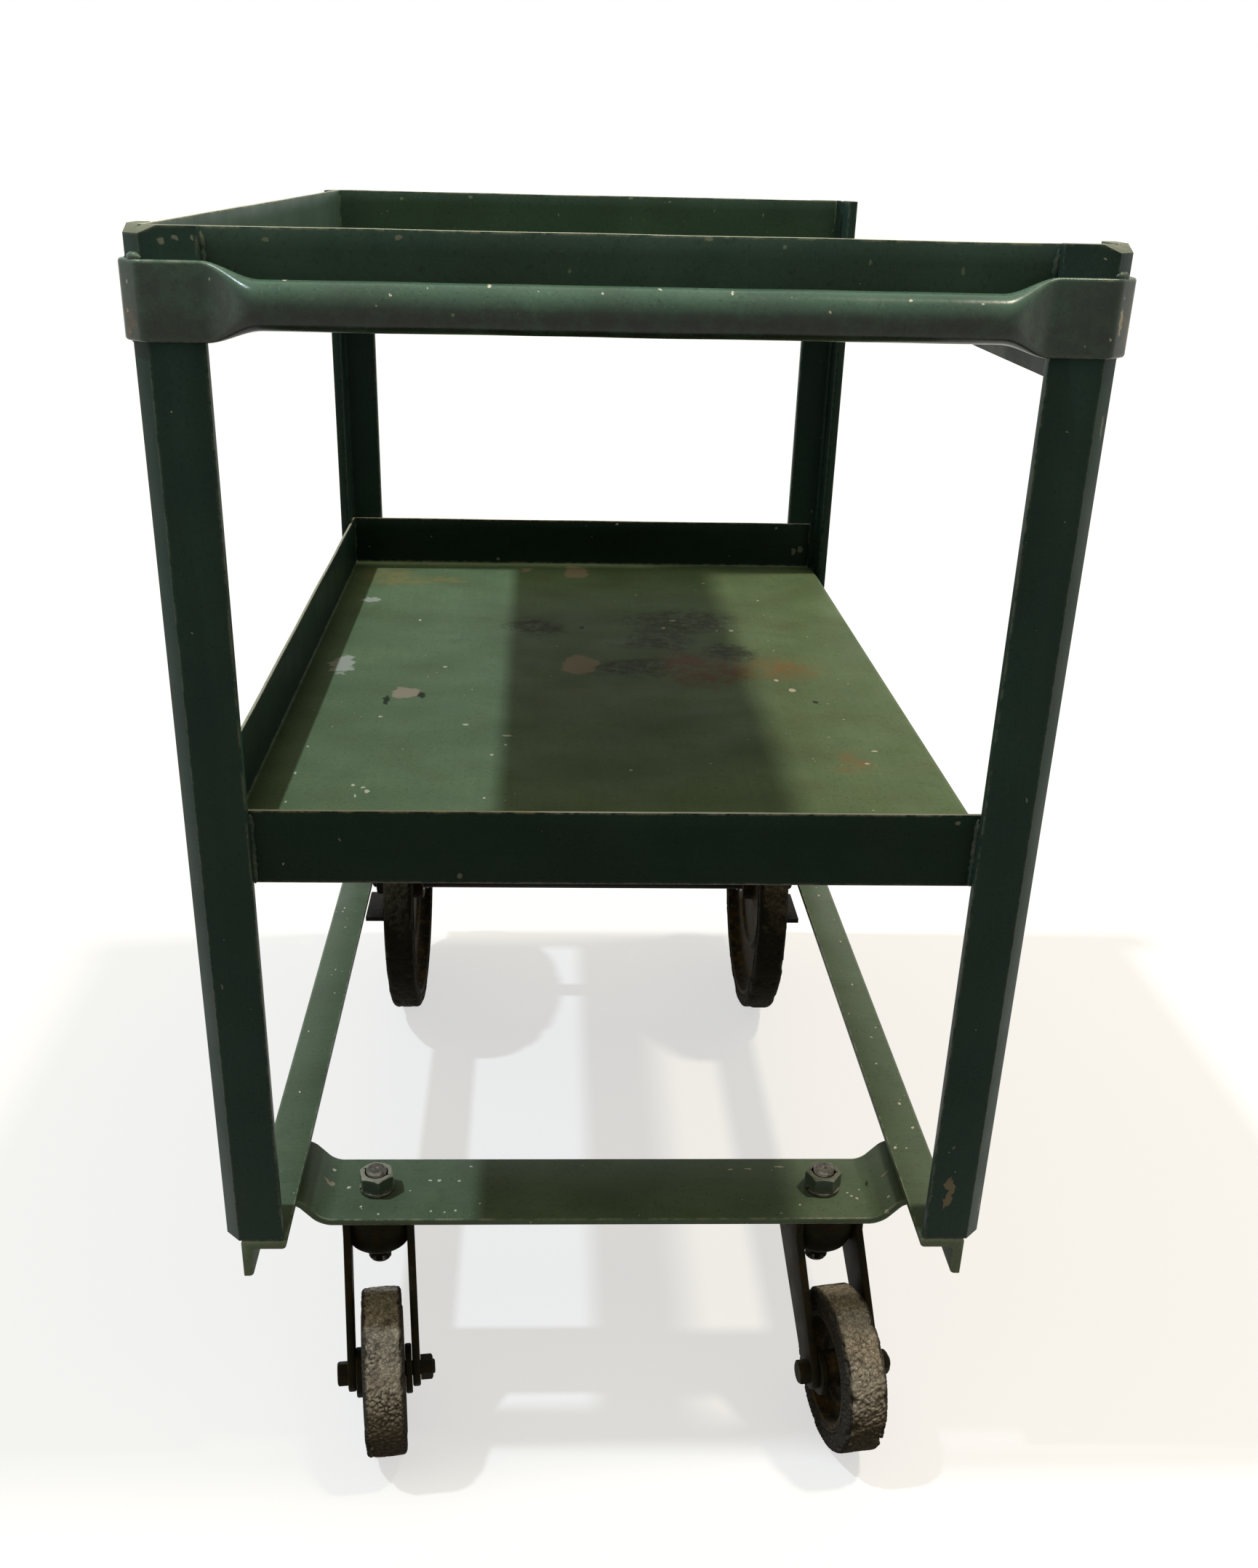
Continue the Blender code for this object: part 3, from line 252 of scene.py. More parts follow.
# on flat faces: millimetres across from the middle, along from the near lip, width and length
lowerMarks = {
    "stain": [(-62, 673, 60, 66), (40, 527, 96, 60), (105, 702, 130, 96), (70, 627, 84, 76), (150, 585, 60, 60)],
    "rust": [(121, 513, 92, 86), (95, 560, 50, 46)],
    "orange": [(203, 526, 66, 64), (226, 250, 26, 40)],
    "residue": [(-189, 881, 58, 30), (-243, 868, 66, 34), (-255, 905, 60, 60)],
    "tan": [(-16, 535, 36, 68), (-14, 927, 32, 58), (-80, 937, 12, 20)],
    "torn": [(-269, 529, 24, 63), (-267, 784, 18, 22)],
    "pale": [(-195, 436, 29, 34)],
    "dark": [(-212, 412, 6, 26), (-11, 672, 5, 13), (220, 418, 6, 8), (-178, 428, 7, 18)],
    "chip": [(-200, 697, 3, 8), (-160, 521, 5, 6), (-213, 364, 5, 4), (-130, 344, 7, 4), (-89, 315, 10, 4),
             (-90, 291, 2, 6), (-102, 265, 4, 5), (-271, 282, 2, 5), (-273, 217, 3, 5), (-210, 185, 4, 4),
             (-215, 166, 2, 7), (-105, 163, 3, 4), (-271, 152, 2, 4), (84, 674, 4, 8), (97, 706, 9, 6),
             (145, 666, 3, 6), (162, 667, 6, 8), (202, 456, 7, 11), (190, 488, 5, 7), (240, 250, 5, 4),
             (253, 281, 6, 4), (23, 229, 3, 5), (-206, 176, 4, 8), (-219, 190, 3, 6), (150, 880, 4, 4),
             (60, 820, 3, 4), (210, 800, 4, 4), (-40, 600, 3, 3)],
}
# on upright faces: millimetres across from the middle, up from the floor, width and height
rimMarks = {
    "worn": [(-147, 1013, 5, 3), (47, 1016, 6, 3), (-40, 996, 2, 3), (150, 1004, 2, 3), (-230, 1010, 4, 3),
             (210, 1000, 2, 5), (95, 1012, 3, 2)],
}
lipMarks = {"worn": [(279, 586, 6, 9), (288, 589, 7, 8), (-117, 571, 4, 4), (254, 617, 4, 3), (-205, 600, 2, 2)]}
postMarks = {
    "pale": [(286, 283, 8, 32)],
    "worn": [(-292, 1009, 4, 4), (-283, 1011, 4, 3), (-273, 1011, 2, 3), (316, 265, 2, 15), (300, 640, 2, 4),
             (-300, 480, 2, 5), (314, 905, 2, 14), (284, 330, 2, 3)],
}
handleMarks = {
    "chip": [(-318, 968, 1.7, 2.4), (-316, 985, 1.2, 3), (-318, 955, 1.2, 2.4), (313, 972, 3, 16),
             (306, 962, 1.7, 1.8), (290, 958, 1.2, 1.8), (170, 985, 2.2, 1.2), (60, 987, 1.7, 1.2),
             (-90, 988, 2.2, 1.2), (-215, 989, 2.8, 1.2), (120, 978, 1.7, 1.8), (-20, 985, 1.2, 1.2),
             (-150, 983, 1.2, 1.2), (15, 988, 2.2, 1.2), (215, 984, 1.7, 1.2), (-60, 986, 1.2, 1.2)],
    "orange": [(-317, 962, 6, 24), (318, 964, 8, 34)],
}
# flat faces again
topMarks = {
    "stain": [(-120, 320, 110, 90), (60, 640, 150, 110), (180, 210, 80, 70)],
    "rust": [(-40, 600, 50, 60), (215, 820, 40, 60)],
    "residue": [(-230, 900, 60, 50)],
    "torn": [(140, 430, 16, 40)],
    "chip": [(-210, 250, 7, 8), (-90, 480, 5, 9), (30, 300, 12, 4), (110, 760, 7, 7), (200, 540, 24, 3),
             (-160, 740, 6, 10), (60, 120, 5, 5), (240, 380, 6, 9)],
}
barMarks = {
    "chip": [(-157, 111, 2.8, 2.1), (-148, 111, 3.5, 2.8), (-130, 111, 2.8, 2.1), (-153, 67, 2.1, 2.1),
             (-141, 66, 2.1, 2.1), (-131, 68, 2.1, 2.1), (-174, 96, 1.5, 2.1), (-110, 78, 1.5, 2.1),
             (169, 131, 9.1, 1.5), (139, 128, 7, 1.5), (122, 127, 4.9, 1.5), (226, 92, 2.1, 2.1), (229, 87, 2.1, 2.1),
             (233, 84, 2.1, 2.8), (238, 96, 1.5, 2.1), (273, 119, 2.8, 4.2), (-230, 101, 3.5, 2.8),
             (-246, 125, 2.8, 2.8), (-199, 63, 2.1, 2.1), (-216, 74, 2.1, 2.1), (-120, 132, 2.1, 2.1),
             (180, 75, 2.1, 2.1), (258, 70, 2.1, 2.8), (292, 190, 2.1, 3.5), (284, 260, 1.5, 2.8),
             (297, 330, 2.1, 2.8), (289, 420, 1.5, 3.5), (294, 520, 1.5, 3.5), (-289, 210, 1.5, 3.5),
             (-296, 320, 2.1, 3.5), (-285, 450, 1.5, 3.5), (-293, 600, 2.1, 4.2), (288, 640, 2.1, 4.2),
             (296, 150, 2.8, 3.5), (283, 118, 2.1, 2.8)],
    "tan": [(-249, 107, 7, 5.6), (262, 100, 3.5, 3.5)],
    "dark": [(246, 104, 2.1, 9.8), (206, 118, 11.2, 2.1)],
}


def layMarks(tree, place, colour, bare, marks, upright):
    # each mark is a ragged oval, drawn from how far a point lies from its middle
    for kind, spots in marks.items():
        look = markKinds[kind]
        ragged = frayed(tree, place, look["size"], look["reach"])
        if look["mottled"]:
            lumps = addNode(tree, "ShaderNodeTexNoise", {"Vector": place, "Scale": 1 / 0.010, "Detail": 6.0,
                                                         "Roughness": 0.7}, give=0)
            mottle = addNode(tree, "ShaderNodeMapRange", {"Value": lumps, "From Min": 0.34, "From Max": 0.58}, give=0)
        for across, along, width, length in spots:
            wide, long = 2 * millimetres / width, 2 * millimetres / length
            if upright:
                middle, scale = Vector((across, 0, along)) / millimetres, (wide, 0, long)
            else:
                middle, scale = at(across / millimetres, along / millimetres, 0), (wide, long, 0)
            moved = [-spot * size for spot, size in zip(middle, scale)]
            local = addNode(tree, "ShaderNodeMapping", {"Vector": ragged, "Scale": scale, "Location": moved}, give=0)
            away = addNode(tree, "ShaderNodeVectorMath", {0: local}, give="Value", operation="LENGTH")
            share = addNode(tree, "ShaderNodeMapRange", {
                "Value": away, "From Min": 1 + look["soft"], "From Max": 1 - look["soft"], "To Max": look["strength"]},
                give=0, interpolation_type="SMOOTHSTEP")
            if look["mottled"]:
                share = addNode(tree, "ShaderNodeMath", {0: share, 1: mottle}, give=0, operation="MULTIPLY")
            colour = addNode(tree, "ShaderNodeMix", {"Factor": share, "A": colour, "B": linearOf(look["colour"])},
                             give="Result", data_type="RGBA")
            if kind in ("torn", "pale", "chip"):
                bare = addNode(tree, "ShaderNodeMath", {0: bare, 1: share}, give=0, operation="MAXIMUM")
    return colour, bare


# Industrial enamel over mild steel, brushed on: semi-gloss, with a faint orange peel, brush lines, dull patches of
# handling dirt, edges and rims worn through to a pale undercoat, and small chips in clusters.
enamelLooks = {
    "trayEnamel": {"base": "#708867", "deep": "#5c7255", "light": "#839976", "dirt": "#45482a", "dirtShare": 0.45,
                   "wear": "#c9c8b4", "edge": 0.6, "chips": 0.30, "topWear": 0.0, "turnWear": 0.0,
                   "brush": (1, 0.05, 1), "underDirt": 0.0, "roughness": 0.44, "specular": 0.02, "peel": 0.10},
    # the rim, lip and post entries are the same green made darker: painted shade on the faces turned away from the
    # lamps, darkest on the lower tray's lips in the top tray's shadow
    "shadedRimEnamel": {"base": "#4b6259", "deep": "#3c534b", "light": "#597067", "dirt": "#2f342a", "dirtShare": 0.40,
                  "wear": "#b9bca8", "edge": 0.9, "chips": 0.45, "topWear": 1.0, "turnWear": 0.3,
                  "brush": (0.05, 0.05, 1), "underDirt": 0.0, "roughness": 0.42, "specular": 0.07, "peel": 0.10},
    "shadedLipEnamel": {"base": "#22352b", "deep": "#192a21", "light": "#2f4538", "dirt": "#181c16", "dirtShare": 0.35,
                  "wear": "#c3c1ae", "edge": 0.9, "chips": 0.30, "topWear": 0.95, "turnWear": 0.65,
                  "brush": (0.05, 0.05, 1), "underDirt": 0.0, "roughness": 0.42, "specular": 0.06, "peel": 0.10},
    "shadedPostEnamel": {"base": "#30453f", "deep": "#243732", "light": "#365045", "dirt": "#191e1b", "dirtShare": 0.35,
                   "wear": "#9a9c88", "edge": 0.75, "chips": 0.25, "topWear": 0.6, "turnWear": 0.0,
                   "brush": (1, 1, 0.05), "underDirt": 0.0, "roughness": 0.40, "specular": 0.09, "peel": 0.12},
    "barEnamel": {"base": "#5d7059", "deep": "#4c5e49", "light": "#6e826a", "dirt": "#383c2f", "dirtShare": 0.45,
                  "wear": "#c4c3b0", "edge": 0.6, "chips": 1.00, "topWear": 0.0, "turnWear": 0.0,
                  "brush": (0.05, 1, 1), "underDirt": 0.0, "roughness": 0.42, "specular": 0.20, "peel": 0.12},
    # a paler copy of the green for the runners' ends: painted light
    "paleLitEndEnamel": {"base": "#7c8c78", "deep": "#66775f", "light": "#93a08c", "dirt": "#4b4a3a", "dirtShare": 0.40,
                   "wear": "#c9c6b0", "edge": 0.5, "chips": 0.30, "topWear": 0.0, "turnWear": 0.0,
                   "brush": (1, 1, 0.1), "underDirt": 0.0, "roughness": 0.55, "specular": 0.20, "peel": 0.10},
    "leftNutEnamel": {"base": "#35493d", "deep": "#28392f", "light": "#5d6f5c", "dirt": "#2a2a22", "dirtShare": 0.45,
                      "wear": "#9a988a", "edge": 0.9, "chips": 0.30, "topWear": 0.9, "turnWear": 0.0,
                      "brush": (1, 1, 1), "underDirt": 0.0, "roughness": 0.36, "specular": 0.4, "peel": 0.20},
    "rightNutEnamel": {"base": "#435446", "deep": "#34443a", "light": "#5d6c59", "dirt": "#2a2a22", "dirtShare": 0.45,
                       "wear": "#8f8b7c", "edge": 0.8, "chips": 0.30, "topWear": 0.3, "turnWear": 0.0,
                       "brush": (1, 1, 1), "underDirt": 0.0, "roughness": 0.40, "specular": 0.4, "peel": 0.20},
    "handleEnamel": {"base": "#4a6957", "deep": "#385446", "light": "#668672", "dirt": "#26271f", "dirtShare": 0.60,
                     "wear": "#aab5a0", "edge": 0.9, "chips": 0.45, "topWear": 0.0, "turnWear": 0.0,
                     "brush": (0.05, 1, 1), "underDirt": 0.85, "roughness": 0.22, "specular": 0.25, "peel": 0.16},
}
chipFields = [  # cell size in metres, largest chip as a share of a cell, how many cells have one
    (0.040, 0.065, 0.45),
    (0.008, 0.130, 0.55),
]


def makeEnamel(name, look, marks=None, upright=True):
    material, tree, place = startMaterial(name)
    colour = layColours(tree, place, look["base"], [
        (0.16, 3, 0.30, 0.70, 1.0, look["deep"]), (0.035, 4, 0.30, 0.70, 0.50, look["light"]),
        (0.07, 6, 0.46, 0.70, look["dirtShare"], look["dirt"]), (0.002, 2, 0.58, 0.72, 0.45, look["light"]),
        (0.003, 4, 0.56, 0.70, 0.45, look["dirt"])])
    # brush lines run along the piece, drawn 4 mm wide so that they show
    drawn = addNode(tree, "ShaderNodeMapping", {"Vector": place, "Scale": look["brush"]}, give=0)
    lines = addNode(tree, "ShaderNodeTexNoise", {"Vector": drawn, "Scale": 1 / 0.004, "Detail": 4.0}, give=0)
    lined = addNode(tree, "ShaderNodeMapRange", {"Value": lines, "From Min": 0.42, "From Max": 0.72, "To Max": 0.22},
                    give=0)
    colour = addNode(tree, "ShaderNodeMix", {"Factor": lined, "A": colour, "B": linearOf(look["deep"])}, give="Result",
                     data_type="RGBA")
    facing = addNode(tree, "ShaderNodeNewGeometry", give="Normal")
    upward = addNode(tree, "ShaderNodeSeparateXYZ", {0: facing}, give="Z")
    rubbed = addNode(tree, "ShaderNodeTexNoise", {"Vector": place, "Scale": 1 / 0.014, "Detail": 5.0, "Roughness": 0.7},
                     give=0)
    if look["underDirt"]:  # the lower half is darkened: painted shade under the tube, with some dirt from hands
        under = addNode(tree, "ShaderNodeMapRange", {"Value": upward, "From Min": 0.50, "From Max": -0.25,
                                                     "To Max": look["underDirt"]}, give=0)
        patchy = addNode(tree, "ShaderNodeMapRange", {"Value": rubbed, "From Min": 0.34, "From Max": 0.56}, give=0)
        under = addNode(tree, "ShaderNodeMath", {0: under, 1: patchy}, give=0, operation="MULTIPLY")
        colour = addNode(tree, "ShaderNodeMix", {"Factor": under, "A": colour, "B": linearOf(look["dirt"])},
                         give="Result", data_type="RGBA")
    # edges are worn through where the rounded normal leaves the flat one
    rounded = addNode(tree, "ShaderNodeBevel", {"Radius": 0.003}, give=0, samples=3)
    agree = addNode(tree, "ShaderNodeVectorMath", {0: rounded, 1: facing}, give="Value", operation="DOT_PRODUCT")
    thin = addNode(tree, "ShaderNodeMapRange", {"Value": rubbed, "From Min": 0.43, "From Max": 0.57}, give=0)
    edge = addNode(tree, "ShaderNodeMapRange", {"Value": agree, "From Min": 0.99, "From Max": 0.93,
                                                "To Max": look["edge"]}, give=0)
    bare = addNode(tree, "ShaderNodeMath", {0: edge, 1: thin}, give=0, operation="MULTIPLY")
    if look["topWear"]:  # the rim's top edge and the tops of nuts are rubbed bare
        most = addNode(tree, "ShaderNodeMapRange", {"Value": rubbed, "From Min": 0.24, "From Max": 0.40}, give=0)
        over = addNode(tree, "ShaderNodeMapRange", {"Value": upward, "From Min": 0.45, "From Max": 0.85,
                                                    "To Max": look["topWear"]}, give=0)
        over = addNode(tree, "ShaderNodeMath", {0: over, 1: most}, give=0, operation="MULTIPLY")
        bare = addNode(tree, "ShaderNodeMath", {0: bare, 1: over}, give=0, operation="MAXIMUM")
    if look["turnWear"]:  # the outer turn of the bend catches on things too
        tilt = addNode(tree, "ShaderNodeMath", {0: upward, 1: 0.62}, give=0, operation="ADD")
        tilt = addNode(tree, "ShaderNodeMath", {0: tilt}, give=0, operation="ABSOLUTE")
        under = addNode(tree, "ShaderNodeMapRange", {"Value": tilt, "From Min": 0.22, "From Max": 0.08,
                                                     "To Max": look["turnWear"]}, give=0)
        under = addNode(tree, "ShaderNodeMath", {0: under, 1: thin}, give=0, operation="MULTIPLY")
        bare = addNode(tree, "ShaderNodeMath", {0: bare, 1: under}, give=0, operation="MAXIMUM")
    # chips come in clusters, each a ragged dot in a few of the cells
    ragged = frayed(tree, place, 0.0025, 0.0035)
    crowd = addNode(tree, "ShaderNodeTexNoise", {"Vector": place, "Scale": 1 / 0.09, "Detail": 2.0}, give=0)
    crowd = addNode(tree, "ShaderNodeMapRange", {"Value": crowd, "From Min": 0.40, "From Max": 0.64,
                                                 "To Min": 0.06, "To Max": look["chips"]}, give=0)
    for cell, reach, share in chipFields:
        cells = addNode(tree, "ShaderNodeTexVoronoi", {"Vector": ragged, "Scale": 1 / cell})
        lot = addNode(tree, "ShaderNodeSeparateColor", {"Color": cells.outputs["Color"]})
        size = addNode(tree, "ShaderNodeMath", {0: lot.outputs[1], 1: reach}, give=0, operation="MULTIPLY")
        near = addNode(tree, "ShaderNodeMath", {0: cells.outputs["Distance"], 1: size}, give=0, operation="LESS_THAN")
        chance = addNode(tree, "ShaderNodeMath", {0: crowd, 1: share}, give=0, operation="MULTIPLY")
        picked = addNode(tree, "ShaderNodeMath", {0: lot.outputs[0], 1: chance}, give=0, operation="LESS_THAN")
        chip = addNode(tree, "ShaderNodeMath", {0: near, 1: picked}, give=0, operation="MULTIPLY")
        bare = addNode(tree, "ShaderNodeMath", {0: bare, 1: chip}, give=0, operation="MAXIMUM")
    colour = addNode(tree, "ShaderNodeMix", {"Factor": bare, "A": colour, "B": linearOf(look["wear"])}, give="Result",
                     data_type="RGBA")
    if marks:
        colour, bare = layMarks(tree, place, colour, bare, marks, upright)
    # duller where it is dirty or bare
    smear = addNode(tree, "ShaderNodeTexNoise", {"Vector": place, "Scale": 1 / 0.05, "Detail": 5.0}, give=0)
    rough = addNode(tree, "ShaderNodeMath", {0: smear, 1: 0.32, 2: look["roughness"] - 0.14}, give=0,
                    operation="MULTIPLY_ADD")
    rough = addNode(tree, "ShaderNodeMath", {0: bare, 1: 0.25, 2: rough}, give=0, operation="MULTIPLY_ADD")
    peel = addNode(tree, "ShaderNodeTexNoise", {"Vector": place, "Scale": 1 / 0.003, "Detail": 3.0}, give=0)
    height = addNode(tree, "ShaderNodeMath", {0: lines, 1: 0.15}, give=0, operation="MULTIPLY")
    height = addNode(tree, "ShaderNodeMath", {0: peel, 1: look["peel"], 2: height}, give=0, operation="MULTIPLY_ADD")
    height = addNode(tree, "ShaderNodeMath", {0: bare, 1: -0.5, 2: height}, give=0, operation="MULTIPLY_ADD")
    relief = addNode(tree, "ShaderNodeBump", {"Height": height, "Strength": 0.55, "Distance": 0.0005}, give=0)
    endMaterial(tree, {"Base Color": colour, "Roughness": rough, "IOR": 1.5, "Specular IOR Level": look["specular"],
                       "Normal": relief})
    return material


uprightMarks = {"shadedRimEnamel": rimMarks, "shadedLipEnamel": lipMarks, "shadedPostEnamel": postMarks, "handleEnamel": handleMarks}
flatMarks = {"barEnamel": barMarks, "lowerFloorEnamel": lowerMarks, "topFloorEnamel": topMarks}
enamelLooks["lowerFloorEnamel"] = enamelLooks["topFloorEnamel"] = enamelLooks["trayEnamel"]
paints = {}
for name, look in enamelLooks.items():
    if name in flatMarks:
        paints[name] = makeEnamel(name, look, flatMarks[name], upright=False)
    else:
        paints[name] = makeEnamel(name, look, uprightMarks.get(name))


# Wheel and fork iron: old black paint over forged and pressed iron, greasy, with brown rust breaking through.
ironLooks = {
    "casterIron": {"paint": "#1c1c12", "rust": "#3a2a16", "dust": "#38341f", "rustShare": 0.55, "roughness": 0.55},
    "axleIron": {"paint": "#171715", "rust": "#3a2c20", "dust": "#47433a", "rustShare": 0.35, "roughness": 0.5},
    "discIron": {"paint": "#2e2a22", "rust": "#66502f", "dust": "#756c58", "rustShare": 0.65, "roughness": 0.7},
}


def makeIron(name, look):
    material, tree, place = startMaterial(name)
    colour = layColours(tree, place, look["paint"], [
        (0.018, 7, 0.46, 0.64, look["rustShare"], look["rust"]), (0.009, 6, 0.50, 0.75, 0.40, look["dust"])])
    blotch = addNode(tree, "ShaderNodeTexNoise", {"Vector": place, "Scale": 1 / 0.018, "Detail": 7.0}, give=0)
    rough = addNode(tree, "ShaderNodeMath", {0: blotch, 1: 0.3, 2: look["roughness"] - 0.1}, give=0,
                    operation="MULTIPLY_ADD")
    pits = addNode(tree, "ShaderNodeTexNoise", {"Vector": place, "Scale": 1 / 0.0025, "Detail": 6.0, "Roughness": 0.65},
                   give=0)
    relief = addNode(tree, "ShaderNodeBump", {"Height": pits, "Strength": 0.5, "Distance": 0.0008}, give=0)
    endMaterial(tree, {"Base Color": colour, "Roughness": rough, "IOR": 1.5, "Specular IOR Level": 0.06,
                       "Normal": relief})
    return material


irons = {name: makeIron(name, look) for name, look in ironLooks.items()}


def makeSteel():
    # turned mild steel, bare and dulled by handling: a soft metal shine under brown tarnish
    material, tree, place = startMaterial("dulledSteel")
    colour = layColours(tree, place, "#8d897d", [(0.006, 5, 0.30, 0.70, 1.0, "#4d4a41"),
                                                 (0.004, 6, 0.48, 0.70, 0.7, "#3a3025")])
    smear = addNode(tree, "ShaderNodeTexNoise", {"Vector": place, "Scale": 1 / 0.003, "Detail": 4.0}, give=0)
    rough = addNode(tree, "ShaderNodeMath", {0: smear, 1: 0.4, 2: 0.22}, give=0, operation="MULTIPLY_ADD")
    grooves = addNode(tree, "ShaderNodeTexNoise", {"Vector": place, "Scale": 1 / 0.0012, "Detail": 4.0}, give=0)
    relief = addNode(tree, "ShaderNodeBump", {"Height": grooves, "Strength": 0.35, "Distance": 0.0004}, give=0)
    endMaterial(tree, {"Base Color": colour, "Roughness": rough, "Metallic": 0.85, "Normal": relief})
    return material


def makeBronze():
    # sintered bronze bushes, oily brown with a dull shine
    material, tree, place = startMaterial("oiledBronze")
    colour = layColours(tree, place, "#7a5a34", [(0.005, 4, 0.30, 0.70, 1.0, "#3c2c1a")])
    smear = addNode(tree, "ShaderNodeTexNoise", {"Vector": place, "Scale": 1 / 0.002, "Detail": 3.0}, give=0)
    rough = addNode(tree, "ShaderNodeMath", {0: smear, 1: 0.3, 2: 0.28}, give=0, operation="MULTIPLY_ADD")
    endMaterial(tree, {"Base Color": colour, "Roughness": rough, "Metallic": 0.9})
    return material


def makeRubber(name, look):
    # aged solid rubber, perished: matt, dusty on the high blocks and dark down in the cracks
    material, tree, place = startMaterial(name)
    colour = layColours(tree, place, look["base"], [(0.03, 5, 0.30, 0.70, 1.0, look["dark"]),
                                                    (0.006, 6, 0.34, 0.68, look["dustShare"], look["dust"])])
    # the finest cracks close into small cells
    ragged = frayed(tree, place, 0.003, 0.0022)
    split = addNode(tree, "ShaderNodeTexVoronoi", {"Vector": ragged, "Scale": 1 / look["cell"]}, give="Distance",
                    feature="DISTANCE_TO_EDGE")
    fine = addNode(tree, "ShaderNodeMapRange", {"Value": split, "From Min": 0.08, "From Max": 0.02,
                                                "To Max": look["fineShare"]}, give=0)
    deep = addNode(tree, "ShaderNodeAttribute", give="Fac", attribute_name="crack")
    dark = addNode(tree, "ShaderNodeMath", {0: fine, 1: deep}, give=0, operation="MAXIMUM")
    colour = addNode(tree, "ShaderNodeMix", {"Factor": dark, "A": colour, "B": linearOf(look["crack"])}, give="Result",
                     data_type="RGBA")
    # darker where the tread faces down: painted shade on the lower tread, with some dirt
    facing = addNode(tree, "ShaderNodeNewGeometry", give="Normal")
    upward = addNode(tree, "ShaderNodeSeparateXYZ", {0: facing}, give="Z")
    under = addNode(tree, "ShaderNodeMapRange", {"Value": upward, "From Min": 0.45, "From Max": -0.20, "To Max": 0.85},
                    give=0)
    colour = addNode(tree, "ShaderNodeMix", {"Factor": under, "A": colour, "B": linearOf(look["shadeAndGrime"])},
                     give="Result", data_type="RGBA")
    # the sidewalls never touch the ground and keep their dark skin
    side = addNode(tree, "ShaderNodeAttribute", give="Fac", attribute_name="side")
    side = addNode(tree, "ShaderNodeMath", {0: side, 1: 0.85}, give=0, operation="MULTIPLY")
    colour = addNode(tree, "ShaderNodeMix", {"Factor": side, "A": colour, "B": linearOf(look["side"])}, give="Result",
                     data_type="RGBA")
    grit = addNode(tree, "ShaderNodeTexNoise", {"Vector": place, "Scale": 1 / 0.0018, "Detail": 6.0, "Roughness": 0.7},
                   give=0)
    height = addNode(tree, "ShaderNodeMath", {0: dark, 1: -0.8, 2: grit}, give=0, operation="MULTIPLY_ADD")
    relief = addNode(tree, "ShaderNodeBump", {"Height": height, "Strength": 0.7, "Distance": 0.001}, give=0)
    endMaterial(tree, {"Base Color": colour, "Roughness": 0.78, "IOR": 1.5, "Specular IOR Level": 0.06,
                       "Normal": relief})
    return material


steel = makeSteel()
bronze = makeBronze()
rubbers = {
    # the caster tread's pale base and dust also stand for the highlight on its upper front: a painted highlight over
    # real dust
    "casterRubber": makeRubber("casterRubber", {"base": "#9e9688", "dark": "#756e64", "dust": "#cabfae", "cell": 0.0026,
                                                "dustShare": 0.8, "fineShare": 0.60, "crack": "#1c1915",
                                                "shadeAndGrime": "#3d3325", "side": "#2b2927"}),
    "farRubber": makeRubber("farRubber", {"base": "#48443b", "dark": "#312f29", "dust": "#6b644f", "cell": 0.0050,
                                          "dustShare": 0.6, "fineShare": 0.5, "crack": "#12110e", "shadeAndGrime": "#2a261c",
                                          "side": "#2d2b22"}),
}
print("materials made")


# shape helpers
def mergeInto(shape, part, place=Matrix.Identity(4)):
    # sets a part in place and adds it to the shape
    bmesh.ops.transform(part, verts=part.verts, matrix=place)
    carrier = bpy.data.meshes.new("carrier")
    part.to_mesh(carrier)
    part.free()
    shape.from_mesh(carrier)
    bpy.data.meshes.remove(carrier)


def addTurned(shape, profile, place, steps=48):
    # a closed outline of (radius, along) points, spun round Z and set in place
    part = bmesh.new()
    spots = [part.verts.new((radius, 0.0, along)) for radius, along in profile]
    lines = [part.edges.new(pair) for pair in zip(spots, spots[1:] + spots[:1])]
    bmesh.ops.spin(part, geom=spots + lines, cent=(0, 0, 0), axis=(0, 0, 1), angle=math.tau, steps=steps,
                   use_merge=True, use_normal_flip=False)
    bmesh.ops.remove_doubles(part, verts=part.verts, dist=mergeDistance)
    mergeInto(shape, part, place)


def arcPoints(centre, radius, start, end, steps):
    return [(centre[0] + radius * math.cos(start + (end - start) * i / steps),
             centre[1] + radius * math.sin(start + (end - start) * i / steps)) for i in range(steps + 1)]


def softenEdges(shape, width, angle=35, segments=2):
    edges = [edge for edge in shape.edges
             if len(edge.link_faces) == 2 and edge.calc_face_angle(0.0) > math.radians(angle)]
    bmesh.ops.bevel(shape, geom=edges, offset=width, offset_type="OFFSET", segments=segments, profile=0.5,
                    affect="EDGES", clamp_overlap=True, material=-1)


def addPlate(shape, outline, thickness, place, soft=0.0):
    # a flat outline raised to a plate along Z, its edges softened
    plate = bmesh.new()
    face = plate.faces.new([plate.verts.new((x, y, 0.0)) for x, y in outline])
    raised = bmesh.ops.extrude_face_region(plate, geom=[face])["geom"]
    bmesh.ops.translate(plate, verts=[part for part in raised if isinstance(part, bmesh.types.BMVert)],
                        vec=(0, 0, thickness))
    bmesh.ops.recalc_face_normals(plate, faces=plate.faces)
    if soft:
        softenEdges(plate, soft, 40, 2)
    mergeInto(shape, plate, place)


def addSection(shape, place, height, thickness, steps):
    # one ring of a sweep: a circle pulled apart into a stadium
    ring = bmesh.ops.create_circle(shape, cap_ends=False, segments=steps, radius=thickness / 2,
                                   matrix=Matrix.Rotation(math.pi / steps, 4, "Z"))["verts"]
    for spot in ring:
        spot.co.y += math.copysign((height - thickness) / 2, spot.co.y)
    lines = list({edge for spot in ring for edge in spot.link_edges})
    bmesh.ops.transform(shape, verts=ring, matrix=place)
    return ring, lines


